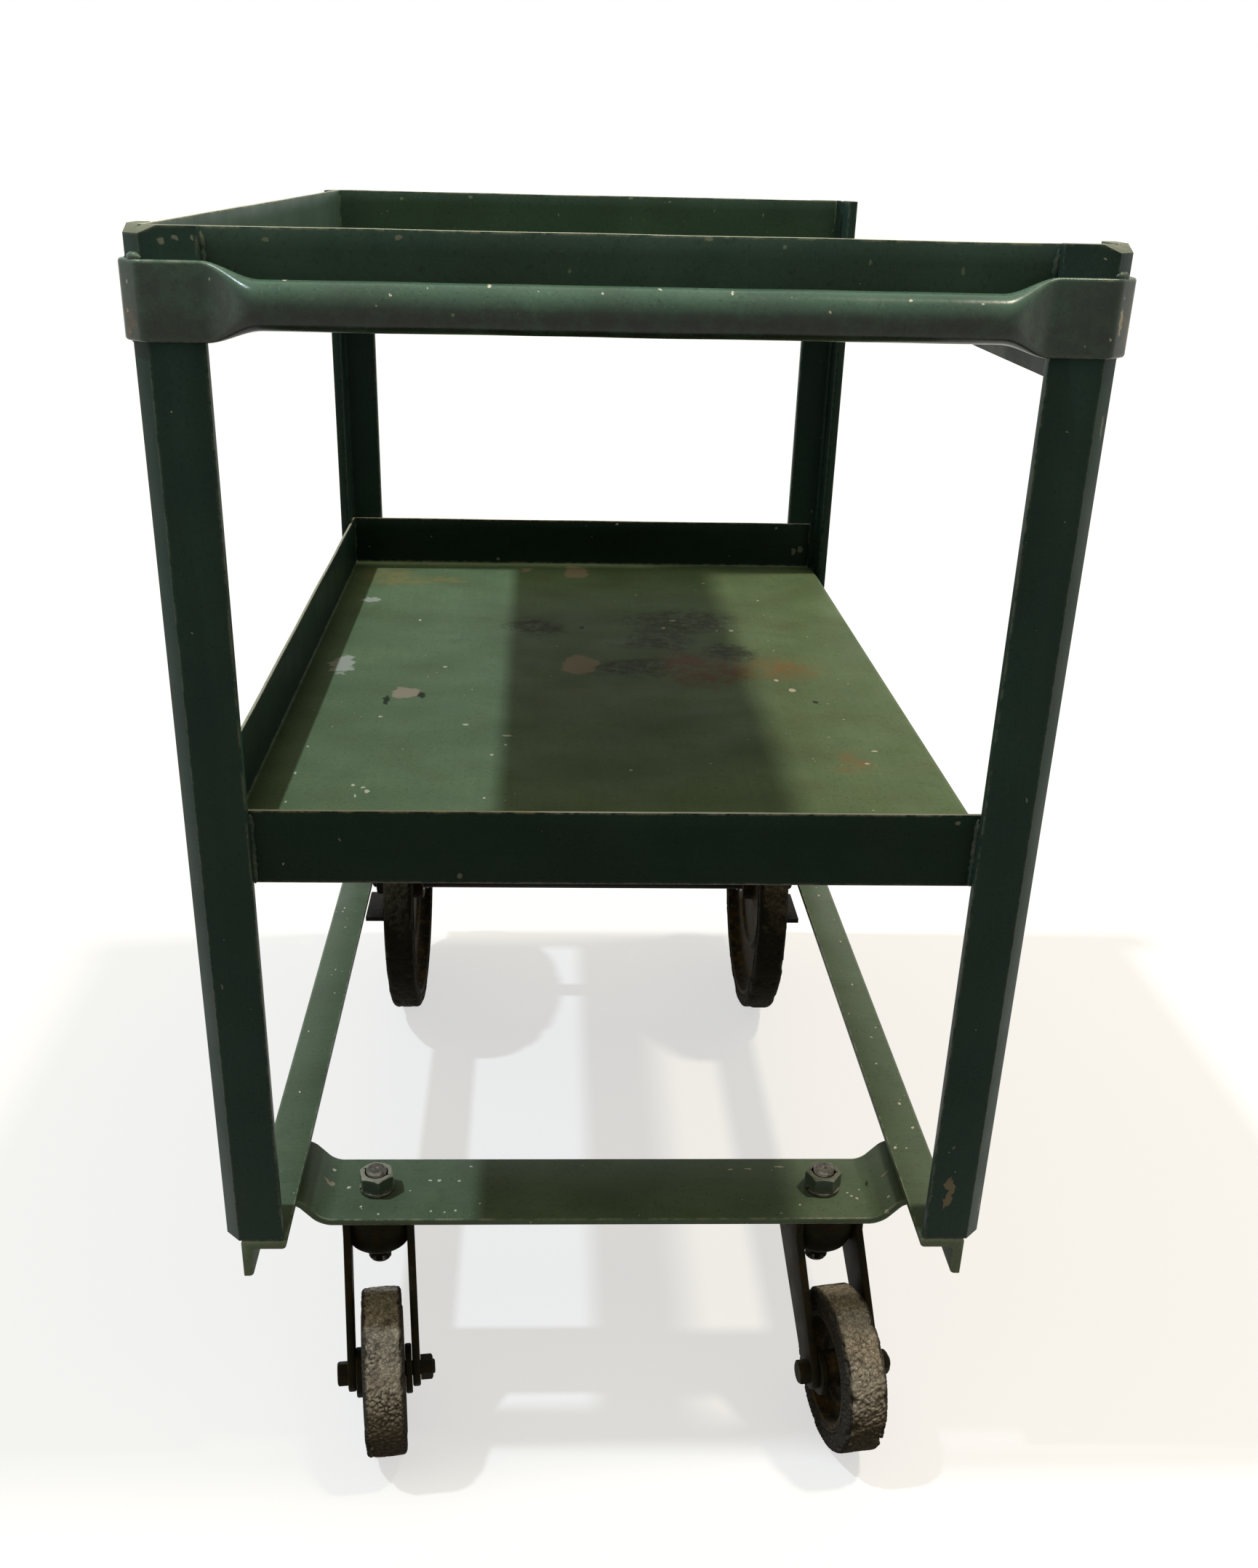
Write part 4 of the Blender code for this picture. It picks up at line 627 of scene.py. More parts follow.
def bridgeSections(shape, sections, closeEnds=True):
    for first, second in zip(sections[:-1], sections[1:]):
        bmesh.ops.bridge_loops(shape, edges=first[1] + second[1])
    if closeEnds:
        for lines in (sections[0][1], sections[-1][1]):
            bmesh.ops.holes_fill(shape, edges=lines)


def frameAt(place, ahead, up):
    # Z looks ahead, Y up
    ahead = Vector(ahead).normalized()
    side = Vector(up).cross(ahead).normalized()
    return Matrix.Translation(place) @ Matrix((side, ahead.cross(side), ahead)).transposed().to_4x4()


weldRipples = {"every": 0.0022, "swing": 0.10, "turn": 2.1, "uneven": 0.12, "blunt": 0.25, "wander": 0.10}


def addWeld(shape, start, end, radius, seed, up=(0, 0, 1), steps=9):
    # a hand-laid weld bead: a low round ridge with ripples and uneven width
    look = weldRipples
    start, end = Vector(start), Vector(end)
    length = (end - start).length
    count = max(6, int(length / look["every"]))
    draw = random.Random(seed)
    bead = bmesh.new()
    sections = []
    for number in range(count + 1):
        share = number / count
        taper = min(1.0, share * count / 2 + look["blunt"], (1 - share) * count / 2 + look["blunt"])
        ripple = 1 + look["swing"] * math.sin(number * look["turn"]) + draw.uniform(-look["uneven"], look["uneven"])
        size = 2 * radius * taper * ripple
        wander = Vector((draw.uniform(-1, 1), draw.uniform(-1, 1), draw.uniform(-1, 1))) * radius * look["wander"]
        sections.append(addSection(bead, frameAt(start.lerp(end, share) + wander, end - start, up), size, size, steps))
    bridgeSections(bead, sections)
    mergeInto(shape, bead)


def foldedStrip(path, depth, thickness, bendReach, soft, outward):
    # a strip laid through (across, up) points, given its depth along the cart, its bends, its wall and soft edges
    shape = bmesh.new()
    spots = [shape.verts.new(place) for place in path]
    lines = [shape.edges.new(pair) for pair in zip(spots[:-1], spots[1:])]
    swept = bmesh.ops.extrude_edge_only(shape, edges=lines)["geom"]
    bmesh.ops.translate(shape, verts=[part for part in swept if isinstance(part, bmesh.types.BMVert)],
                        vec=(0, depth, 0))
    bmesh.ops.bevel(shape, geom=[edge for edge in shape.edges if len(edge.link_faces) == 2], offset=bendReach,
                    offset_type="OFFSET", segments=7, profile=0.5, affect="EDGES", material=-1)
    bmesh.ops.recalc_face_normals(shape, faces=shape.faces)
    largest = max(shape.faces, key=lambda face: face.calc_area())
    if largest.normal.dot(outward) < 0:
        bmesh.ops.reverse_faces(shape, faces=shape.faces)
    mesh = bpy.data.meshes.new("strip")
    shape.to_mesh(mesh)
    shape.free()
    strip = bpy.data.objects.new("stripSkin", mesh)
    bpy.context.scene.collection.objects.link(strip)
    thick = strip.modifiers.new("wall", "SOLIDIFY")
    thick.thickness, thick.offset, thick.use_even_offset = thickness, -1.0, True
    edges = strip.modifiers.new("edges", "BEVEL")
    edges.width, edges.segments, edges.limit_method, edges.angle_limit = soft, 3, "ANGLE", foldAngle
    graph = bpy.context.evaluated_depsgraph_get()
    whole = bpy.data.meshes.new_from_object(strip.evaluated_get(graph), depsgraph=graph)
    bpy.data.objects.remove(strip, do_unlink=True)
    shape = bmesh.new()
    shape.from_mesh(whole)
    return shape


# angle bars: posts and runners
postSizes = {"leg": 0.0483, "wall": 0.010, "bevel": 0.012, "root": 0.005, "toe": 0.003, "crownDrop": 0.005,
             "crownReach": 0.012, "soft": 0.0009, "foot": 0.2363, "top": 1.018, "stand": 0.0103, "half": 0.3183}
runnerSizes = {"flange": 0.0375, "drop": 0.037, "wall": 0.0085, "corner": 0.003, "root": 0.005, "toe": 0.004,
               "soft": 0.0006, "top": 0.236, "half": 0.305, "length": 0.9956}


def addAngleBar(shape, across, side, look, cornerRadius, cornerSteps, length):
    # an angle section with its outer corner on Z and its legs along X and Y, drawn out along Z
    wall = look["wall"]
    plan = [(0, 0), (across, 0), (across, wall), (wall, wall), (wall, side), (0, side)]
    corners = [shape.verts.new((x, y, 0.0)) for x, y in plan]
    shape.faces.new(corners)
    for spot, radius, steps in ((corners[0], cornerRadius, cornerSteps), (corners[3], look["root"], 6),
                                (corners[2], look["toe"], 5), (corners[4], look["toe"], 5)):
        bmesh.ops.bevel(shape, geom=[spot], offset=radius, offset_type="OFFSET", segments=steps, profile=0.5,
                        affect="VERTICES", material=-1)
    raised = bmesh.ops.extrude_face_region(shape, geom=shape.faces[:])["geom"]
    bmesh.ops.translate(shape, verts=[part for part in raised if isinstance(part, bmesh.types.BMVert)],
                        vec=(0, 0, length))


def makePosts():
    look = postSizes
    length = trayLength + look["stand"]
    corners = {"nearLeft": (-look["half"], -look["stand"], 0.0), "nearRight": (look["half"], -look["stand"], 90.0),
               "farRight": (look["half"], length, 180.0), "farLeft": (-look["half"], length, -90.0)}
    nodeOf = {"nearLeft": "post_near_left", "nearRight": "post_near_right", "farRight": "post_far_right",
              "farLeft": "post_far_left"}
    height = look["top"] - look["foot"]
    for name, (across, along, yaw) in corners.items():
        shape = bmesh.new()
        addAngleBar(shape, look["leg"], look["leg"], look, look["bevel"], 1, height)
        slope = look["crownReach"] / look["crownDrop"]
        bmesh.ops.bisect_plane(shape, geom=shape.verts[:] + shape.edges[:] + shape.faces[:],
                               plane_co=(look["bevel"] + look["crownReach"], 0, height), plane_no=(-1, -1, slope),
                               clear_outer=True)
        bmesh.ops.holes_fill(shape, edges=[edge for edge in shape.edges if len(edge.link_faces) == 1])
        bmesh.ops.recalc_face_normals(shape, faces=shape.faces)
        softenEdges(shape, look["soft"], 30, 3)
        bmesh.ops.transform(shape, verts=shape.verts,
                            matrix=Matrix.Translation(at(across, along, look["foot"]))
                            @ Matrix.Rotation(math.radians(yaw), 4, "Z"))
        # the posts take the darker copy of the green enamel: painted shade
        finishPiece(name + "Post", shape, paints["shadedPostEnamel"], "frame", [nodeOf[name]], 32)


def makeRunners():
    look = runnerSizes
    layRight = Matrix(((-1, 0, 0, 0), (0, 0, -1, 0), (0, -1, 0, 0), (0, 0, 0, 1)))
    layLeft = Matrix(((1, 0, 0, 0), (0, 0, 1, 0), (0, -1, 0, 0), (0, 0, 0, 1)))
    farEnd = trayLength + postSizes["stand"]
    for name, lay, across, along in (("right", layRight, look["half"], farEnd),
                                     ("left", layLeft, -look["half"], -postSizes["stand"])):
        shape = bmesh.new()
        addAngleBar(shape, look["flange"], look["drop"], look, look["corner"], 5, look["length"])
        bmesh.ops.recalc_face_normals(shape, faces=shape.faces)
        softenEdges(shape, look["soft"], 60, 2)
        bmesh.ops.transform(shape, verts=shape.verts, matrix=Matrix.Translation(at(across, along, look["top"])) @ lay)
        bmesh.ops.recalc_face_normals(shape, faces=shape.faces)
        for face in shape.faces:  # the sawn ends take a paler copy of the enamel: painted light
            face.material_index = 1 if abs(face.normal.y) > 0.9 else 0
        finishPiece(name + "Runner", shape, [paints["barEnamel"], paints["paleLitEndEnamel"]], "frame", ["runner_" + name],
                    32)


makePosts()
makeRunners()
print("posts and runners made")

# trays
traySizes = {"width": 0.616, "length": trayLength, "sheet": 0.003, "lip": 0.058, "flange": 0.0363, "bend": 0.0055,
             "bendSteps": 5, "columns": 30, "rows": 48, "floorWave": 0.0007, "lipWave": 0.0007, "wavesInMetre": 6.0,
             "lipStart": 0.97, "soft": 0.0007, "topFloor": 0.960, "lowerFloor": 0.5655}


def rollSide(shape, edges, outward, up, look, straight):
    # rolls one side of the sheet round its bend, then runs it straight to its edge
    bend, steps = look["bend"], look["bendSteps"]
    rows = 4
    moves = [outward * bend * (math.sin(b) - math.sin(a)) + up * bend * (math.cos(a) - math.cos(b))
             for a, b in [(math.pi / 2 * i / steps, math.pi / 2 * (i + 1) / steps) for i in range(steps)]]
    moves += [up * straight / rows] * rows
    levels = []
    for move in moves:
        grown = bmesh.ops.extrude_edge_only(shape, edges=edges)["geom"]
        spots = [part for part in grown if isinstance(part, bmesh.types.BMVert)]
        bmesh.ops.translate(shape, verts=spots, vec=move)
        edges = [part for part in grown if isinstance(part, bmesh.types.BMEdge)
                 and part.verts[0] in spots and part.verts[1] in spots]
        levels.append(spots)
    return levels


def closeMitre(levels, axis, fixed, target, look):
    # pulls the end of each level of a lip out to the corner that it shares with its neighbour
    steps = look["bendSteps"]
    for number, spots in enumerate(levels):
        share = math.sin(math.pi / 2 * min(1.0, (number + 1) / steps))
        for spot in spots:
            if abs(spot.co[axis] - fixed) < mergeDistance:
                spot.co[axis] = fixed + (target - fixed) * share


def makeTray(name, floorHeight, replaced, floorPaint, shadedLipPaint):
    look = traySizes
    shape = bmesh.new()
    half, bend, sheet = look["width"] / 2, look["bend"], look["sheet"]
    left, right, near, far = -half + bend, half - sheet - bend, bend, look["length"] - bend
    bmesh.ops.create_grid(shape, x_segments=look["columns"], y_segments=look["rows"], size=1.0)
    reach = max(spot.co.x for spot in shape.verts)
    for spot in shape.verts:
        spot.co = at(left + (right - left) * (spot.co.x / reach + 1) / 2,
                     near + (far - near) * (spot.co.y / reach + 1) / 2, floorHeight - sheet)
    nearY, farY = nearLip + near, nearLip + far
    lipRun = look["lip"] + sheet - bend
    up = Vector((0, 0, 1))
    sides = {}
    for side, axis, place, outward in (("left", 0, left, Vector((-1, 0, 0))), ("near", 1, nearY, Vector((0, -1, 0))),
                                       ("far", 1, farY, Vector((0, 1, 0))), ("right", 0, right, Vector((1, 0, 0)))):
        edges = [edge for edge in shape.edges if all(abs(spot.co[axis] - place) < mergeDistance
                 and abs(spot.co.z - floorHeight + sheet) < mergeDistance for spot in edge.verts)]
        if side == "right":
            sides[side] = rollSide(shape, edges, outward, -up, look, look["flange"] - sheet - bend)
        else:
            sides[side] = rollSide(shape, edges, outward, up, look, lipRun)
    closeMitre(sides["left"], 1, nearY, nearLip, look)
    closeMitre(sides["left"], 1, farY, nearLip + look["length"], look)
    closeMitre(sides["near"], 0, left, -half, look)
    closeMitre(sides["far"], 0, left, -half, look)
    bmesh.ops.remove_doubles(shape, verts=shape.verts, dist=mergeDistance)
    # a sheet that was pressed and loaded is never quite flat
    middle = nearLip + look["length"] / 2
    for spot in shape.verts:
        share = Vector((spot.co.x / half, (spot.co.y - middle) / (look["length"] / 2)))
        free = max(0.0, 1 - abs(share.x) ** 6) * max(0.0, 1 - abs(share.y) ** 6)
        swell = noise.noise_vector(spot.co * look["wavesInMetre"] + Vector((floorHeight * 9, 0, 0)))
        if spot.co.z < floorHeight + bend and spot.co.z > floorHeight - sheet - mergeDistance:
            spot.co.z += free * swell.z * look["floorWave"]
        else:
            rise = min(1.0, abs(spot.co.z - floorHeight) / look["lip"])
            onSide, onEnd = abs(share.x) > look["lipStart"], abs(share.y) > look["lipStart"]
            away = (1 - abs(share.y) ** 10) if onSide else (1 - abs(share.x) ** 10)
            spot.co += Vector((swell.x if onSide else 0, swell.y if onEnd else 0,
                               -abs(swell.z))) * look["lipWave"] * rise * max(0.0, away)
    bmesh.ops.recalc_face_normals(shape, faces=shape.faces)
    floorFace = min(shape.faces, key=lambda face: (face.calc_center_median() - at(0, 0.5, floorHeight)).length)
    if floorFace.normal.z > 0:
        bmesh.ops.reverse_faces(shape, faces=shape.faces)
    mesh = bpy.data.meshes.new(name)
    shape.to_mesh(mesh)
    shape.free()
    sheetObject = bpy.data.objects.new(name + "Skin", mesh)
    bpy.context.scene.collection.objects.link(sheetObject)
    thick = sheetObject.modifiers.new("sheet", "SOLIDIFY")
    thick.thickness, thick.offset, thick.use_even_offset = sheet, -1.0, True
    soft = sheetObject.modifiers.new("edges", "BEVEL")
    soft.width, soft.segments, soft.limit_method, soft.angle_limit = look["soft"], 2, "ANGLE", foldAngle
    graph = bpy.context.evaluated_depsgraph_get()
    whole = bpy.data.meshes.new_from_object(sheetObject.evaluated_get(graph), depsgraph=graph)
    bpy.data.objects.remove(sheetObject, do_unlink=True)
    shape = bmesh.new()
    shape.from_mesh(whole)
    for face in shape.faces:  # the floor has its own stains; the lips and the underside take a darker copy of the green: painted shade
        face.material_index = 0 if face.normal.z > 0.5 and face.calc_center_median().z < floorHeight + 0.01 else 1
    finishPiece(name, shape, [floorPaint, shadedLipPaint], "frame", replaced, 32)


makeTray("topTray", traySizes["topFloor"], ["top_tray"], paints["topFloorEnamel"], paints["shadedRimEnamel"])
makeTray("lowerTray", traySizes["lowerFloor"], ["lower_tray"], paints["lowerFloorEnamel"], paints["shadedLipEnamel"])
print("trays made")

# push handle
handleSizes = {"radius": 0.0151, "height": 0.974, "standoff": 0.0008, "flatHeight": 0.049, "flatThickness": 0.0046,
               "swell": 0.040, "swellSteps": 14, "wrap": 0.0185, "cornerSteps": 5, "cornerReach": 0.0030, "ring": 40,
               "tubeSteps": 24, "gap": 0.0003, "dent": 0.0003, "dentsInMetre": 22.0}


def handleStations():
    # (across, along, direction, height, thickness) from the middle of the tube to its left or right end
    look, post = handleSizes, postSizes
    flatAlong = -(look["flatThickness"] / 2 + look["gap"])
    tubeAlong = -(look["radius"] + look["standoff"])
    full = 2 * look["radius"]
    swellStart = post["half"] - post["leg"] - look["swell"]
    stations = [(swellStart * i / look["tubeSteps"], tubeAlong, 0.0, full, full) for i in range(look["tubeSteps"] + 1)]
    for step in range(1, look["swellSteps"] + 1):
        share = step / look["swellSteps"]
        ease = share * share * (3 - 2 * share)
        stations.append((swellStart + look["swell"] * share, tubeAlong + (flatAlong - tubeAlong) * ease, 0.0,
                         full + (look["flatHeight"] - full) * ease, full + (look["flatThickness"] - full) * ease))
    offset = -flatAlong
    shift = offset * math.tan(math.pi / 8)
    reach, steps = look["cornerReach"], look["cornerSteps"]
    corners = [((post["half"] - post["bevel"] + shift, flatAlong), 0.0),
               ((post["half"] + offset, post["bevel"] - shift), math.pi / 4)]
    for (across, along), heading in corners:
        for step in range(steps + 1):
            share = step / steps
            start = Vector((across, along)) - Vector((math.cos(heading), math.sin(heading))) * reach
            end = Vector((across, along)) + Vector((math.cos(heading + math.pi / 4),
                                                    math.sin(heading + math.pi / 4))) * reach
            knee = Vector((across, along))
            spot = start * (1 - share) ** 2 + knee * 2 * share * (1 - share) + end * share ** 2
            stations.append((spot.x, spot.y, heading + math.pi / 4 * share, look["flatHeight"], look["flatThickness"]))
    stations.append((post["half"] + offset, post["bevel"] + look["wrap"], math.pi / 2, look["flatHeight"],
                     look["flatThickness"]))
    return stations


def makeHandle():
    look = handleSizes
    half = handleStations()
    stations = [(-x, y, -heading, h, t) for x, y, heading, h, t in reversed(half[1:])] + half
    shape = bmesh.new()
    sections = []
    for x, y, heading, height, thickness in stations:
        place = at(x, y - postSizes["stand"], look["height"])
        ahead = Vector((math.cos(heading), math.sin(heading), 0))
        sections.append(addSection(shape, frameAt(place, ahead, (0, 0, 1)), height, thickness, look["ring"]))
    bridgeSections(shape, sections)
    bmesh.ops.recalc_face_normals(shape, faces=shape.faces)
    for spot in shape.verts:  # pressing and years of knocks left small flats and swells
        spot.co += spot.normal * look["dent"] * noise.noise(spot.co * look["dentsInMetre"])
    finishPiece("pushHandle", shape, paints["handleEnamel"], "frame", ["push_handle"], 55)


makeHandle()
print("handle made")

# caster bar
barSizes = {"thickness": 0.0064, "depth": 0.0885, "nearEdge": 0.0552, "top": 0.2055, "flatHalf": 0.247, "joggle": 0.020,
            "endTop": 0.2272, "endHalf": 0.2912, "bendReach": 0.0075, "soft": 0.0008}


def makeCasterBar():
    look = barSizes
    half = [(look["flatHalf"], look["top"]), (look["flatHalf"] + look["joggle"], look["endTop"]),
            (look["endHalf"], look["endTop"])]
    path = [at(x, look["nearEdge"], z) for x, z in [(-x, z) for x, z in reversed(half)] + half]
    shape = foldedStrip(path, look["depth"], look["thickness"], look["bendReach"], look["soft"], Vector((0, 0, 1)))
    finishPiece("casterBar", shape, paints["barEnamel"], "frame", ["caster_bar"], 32)


makeCasterBar()
print("caster bar made")

# casters
casterSizes = {
    "yaw": {"left": 6.4, "right": 9.0}, "nutTurn": {"left": 12.0, "right": 25.0}, "trail": 0.089, "wheel": 0.073,
    "stemRadius": 0.0095, "stemHeadRadius": 0.021, "stemHeadTop": 0.1988, "stemHeadLow": 0.1948, "stemTop": 0.2283,
    "stemLow": 0.1277, "threadPitch": 0.0020, "threadDepth": 0.0007, "washerLow": 0.2058, "washerThick": 0.0038,
    "washerRadius": 0.0158, "washerRise": 0.0004, "nutLow": 0.2100, "nutHeight": 0.0145, "nutFlats": 0.0286,
    "housingTop": 0.1945, "housingLow": 0.1515, "housingRadius": 0.0345, "bowlRadius": 0.0255, "bore": 0.0141,
    "castleTop": 0.1512, "castleHeight": 0.0140, "lugHeight": 0.0060, "lugRadius": 0.0108, "castleFlats": 0.024,
    "forkGap": 0.050, "legThick": 0.007, "legFront": 0.030, "legBack": 0.022, "legShoulder": 0.018, "legRise": 0.008,
    "eyeRadius": 0.016, "legSoft": 0.0016, "axleRadius": 0.0064, "headFlats": 0.019, "headHeight": 0.009,
    "axleNutHeight": 0.011, "axleOut": 0.002, "spacerRadius": 0.0215, "gap": 0.0003, "edge": 0.001,
    "crownSoft": 0.0012, "bulge": 0.55, "groove": ((0, 0.0100), (0.0008, 0.0112), (0.0018, 0.0120), (0.0010, 0.0132)),
    "axleChamfer": 0.0012, "headBore": 0.0004, "washerTurn": 205, "washerSoft": 0.0004, "lugs": 6,
    "lugFrom": 13, "lugTo": 47, "lugSoft": 0.0003, "axleNutTurn": 17,
}


def hexReach(angle, flats):
    return flats / 2 / math.cos(angle % (math.pi / 3) - math.pi / 6)


hexLook = {"face": 0.470, "lead": 0.0008, "levels": (0.0, 0.04, 0.08, 0.12, 0.17, 0.5, 0.83, 0.88, 0.92, 0.96, 1.0)}


def addHexBlock(shape, flats, height, bore, place, chamfered=("top",), segments=72):
    # a hexagon whose corners are turned off at 30 degrees, with a round bore through it
    block = bmesh.new()
    washerFace, lead = flats * hexLook["face"], hexLook["lead"]
    sections = []
    for share in hexLook["levels"]:
        up = height * share
        limit = flats
        if "top" in chamfered:
            limit = min(limit, washerFace + (height - up) * math.sqrt(3))
        if "low" in chamfered:
            limit = min(limit, washerFace + up * math.sqrt(3))
        ring = bmesh.ops.create_circle(block, segments=segments, radius=1.0)["verts"]
        lines = list({edge for spot in ring for edge in spot.link_edges})
        for spot in ring:
            angle = math.atan2(spot.co.y, spot.co.x)
            reach = min(limit, hexReach(angle, flats))
            spot.co = (reach * math.cos(angle), reach * math.sin(angle), up)
        sections.append((ring, lines))
    inner = []
    for up in (height, height - lead, 0.0):
        ring = bmesh.ops.create_circle(block, segments=segments, radius=bore + (lead if up == height else 0.0),
                                       matrix=Matrix.Translation((0, 0, up)))["verts"]
        inner.append((ring, list({edge for spot in ring for edge in spot.link_edges})))
    bridgeSections(block, sections + inner, closeEnds=False)
    bmesh.ops.bridge_loops(block, edges=inner[-1][1] + sections[0][1])
    mergeInto(shape, block, place)


def addSplitWasher(shape, inner, outer, thickness, rise, place, opening=9.0, steps=64):
    # a spring washer: a square wire coiled once, its cut ends sprung apart
    coil = bmesh.new()
    corners = [(inner, 0.0), (outer, 0.0003), (outer, thickness), (inner, thickness)]
    spots = [coil.verts.new((radius, 0, up)) for radius, up in corners]
    lines = [coil.edges.new(pair) for pair in zip(spots, spots[1:] + spots[:1])]
    bmesh.ops.spin(coil, geom=spots + lines, cent=(0, 0, 0), axis=(0, 0, 1), dvec=(0, 0, rise / steps),
                   angle=math.radians(360 - opening), steps=steps, use_merge=False)
    bmesh.ops.holes_fill(coil, edges=[edge for edge in coil.edges if len(edge.link_faces) == 1])
    mergeInto(shape, coil, place)


def stemOutline():
    look = casterSizes
    radius, pitch = look["stemRadius"], look["threadPitch"]
    # a centre mark and a chamfer on the end, then thread, collar and thread again
    outline = [(0.0, look["stemTop"] - 0.0010), (0.0012, look["stemTop"] - 0.0009), (0.0022, look["stemTop"]),
               (radius - 0.0020, look["stemTop"]), (radius - 0.0004, look["stemTop"] - 0.0016)]
    up = look["stemTop"] - 0.0020
    while up > look["nutLow"]:
        outline += [(radius, up), (radius - look["threadDepth"], up - pitch / 2)]
        up -= pitch
    outline += [(radius, look["stemHeadTop"]), (look["stemHeadRadius"] - 0.001, look["stemHeadTop"]),
                (look["stemHeadRadius"], look["stemHeadTop"] - 0.001), (look["stemHeadRadius"], look["stemHeadLow"]),
                (radius, look["stemHeadLow"])]
    up = look["castleTop"]
    outline.append((radius, up))
    while up > look["stemLow"] + 0.003:
        outline += [(radius - look["threadDepth"], up - pitch / 2), (radius, up - pitch)]
        up -= pitch
    outline += [(radius - 0.0016, look["stemLow"]), (0.0, look["stemLow"])]
    return outline


def housingOutline():
    # the race housing: a flat top ring, a bulged side and a bowl that draws in to the slotted nut
    look = casterSizes
    top, low, radius, bowl = look["housingTop"], look["housingLow"], look["housingRadius"], look["bowlRadius"]
    soft = look["crownSoft"]
    outline = [(look["bore"], top), (radius - soft, top)]
    outline += arcPoints((radius - soft, top - soft), soft, math.pi / 2, 0, 3)
    outline += [(radius - inward, top - down) for inward, down in look["groove"]]
    inward, down = look["groove"][-1]
    steps = 12
    for i in range(1, steps + 1):
        share = i / steps
        bulge = math.cos(share * math.pi / 2) ** look["bulge"]
        outline.append((bowl + (radius - inward - bowl) * bulge, top - down + (low - top + down) * share))
    return outline + [(look["bore"], low)]


def legOutline():
    look = casterSizes
    eye = Vector((-look["trail"], look["wheel"]))
    front = Vector((-look["legFront"], look["housingTop"] - look["legShoulder"]))
    back = Vector((look["legBack"], look["housingLow"] + look["legRise"]))
    outline = [Vector((look["legBack"], look["housingTop"])), Vector((-look["legFront"], look["housingTop"])), front]

    def touch(point, side):
        away = point - eye
        return math.atan2(away.y, away.x) + side * math.acos(look["eyeRadius"] / away.length)

    start, end = touch(front, 1), touch(back, -1) + math.tau
    outline += [Vector(spot) for spot in arcPoints(eye, look["eyeRadius"], start, end, 22)]
    return outline + [back]


def wheelPlace(centre, yaw):
    return Matrix.Translation(centre) @ Matrix.Rotation(yaw, 4, "Z") @ Matrix.Rotation(math.pi / 2, 4, "Y")


def mirroredOutline(half):
    return half + [(radius, -along) for radius, along in reversed(half)]


wheelLooks = {
    "caster": {"outer": 0.073, "rim": 0.0525, "width": 0.037, "bore": 0.0100, "hub": 0.0160, "rimWall": 0.006,
               "web": 0.003, "bead": 0.004, "beadWidth": 0.006, "fillet": 0.006, "edge": 0.005, "spacing": 0.00115,
               "cell": 0.0050, "crackShare": 0.20, "depth": 0.0020, "lump": 0.0014, "torn": 0.0055,
               "tornSize": 0.010, "steps": 400},
    "far": {"outer": 0.1775, "rim": 0.160, "width": 0.038, "bore": 0.0196, "hub": 0.0300, "rimWall": 0.006,
            "web": 0.003, "bead": 0.004, "beadWidth": 0.007, "fillet": 0.008, "edge": 0.008, "spacing": 0.0018,
            "cell": 0.0090, "crackShare": 0.13, "depth": 0.0012, "lump": 0.0022, "torn": 0.0045,
            "tornSize": 0.022, "steps": 520},
}
discEdges = {"hub": 0.001, "foot": 0.004, "lip": 0.0015}


def discOutline(look):
    half, web, rimLow = look["width"] / 2, look["web"], look["rim"] - look["rimWall"]
    bead = (look["hub"] + rimLow) / 2
    fillet, edge, foot, lip = look["fillet"], discEdges["hub"], discEdges["foot"], discEdges["lip"]
    outline = [(look["bore"], half), (look["hub"] - edge, half)]
    outline += arcPoints((look["hub"] - edge, half - edge), edge, math.pi / 2, 0, 3)
    outline += arcPoints((look["hub"] + foot, web + foot), foot, math.pi, math.pi * 1.5, 5)
    for i in range(13):  # the pressed stiffening ring in the web
        share = i / 12
        outline.append((bead + look["beadWidth"] * (2 * share - 1),
                        web + look["bead"] * math.sin(math.pi * share) ** 2))
    outline += arcPoints((rimLow - fillet, web + fillet), fillet, -math.pi / 2, 0, 6)
    outline += arcPoints((rimLow + lip, half - 2 * lip), lip, math.pi, math.pi / 2, 4)
    outline += [(look["rim"] - 0.0008, half - lip), (look["rim"], half - 0.0023)]
    return mirroredOutline(outline)


def spacedOut(points, spacing):
    spaced = []
    for start, end in zip(points[:-1], points[1:]):
        count = max(1, round((Vector(end) - Vector(start)).length / spacing))
        spaced += [tuple(Vector(start).lerp(Vector(end), i / count)) for i in range(count)]
    return spaced + [points[-1]]


def tyreOutline(look):
    half, edge = look["width"] / 2, look["edge"]
    rim = look["rim"] + 0.0003
    outline = [(rim, half - 0.0008), (rim + 0.0010, half)]
    outline += arcPoints((look["outer"] - edge, half - edge), edge, math.pi / 2, 0, 6)
    outline.append((look["outer"], 0.0))
    spaced = spacedOut(outline, look["spacing"])
    return spaced + [(radius, -along) for radius, along in reversed(spaced[:-1])]


# how wide and far the cracks waver, how their depth varies, the lumps, and where the shoulders are torn
perishSizes = {"waver": 0.007, "waverReach": 0.0016, "patch": 0.02, "shallow": 0.55, "deepen": 0.45, "lumpCells": 3.2,
               "shoulderDown": 1.6, "shoulderIn": 1.8, "tornFrom": 0.12, "tornGain": 3, "crackTint": 1.25,
               "tornTint": 0.25, "sideFade": 0.6, "rimClear": 0.0015}


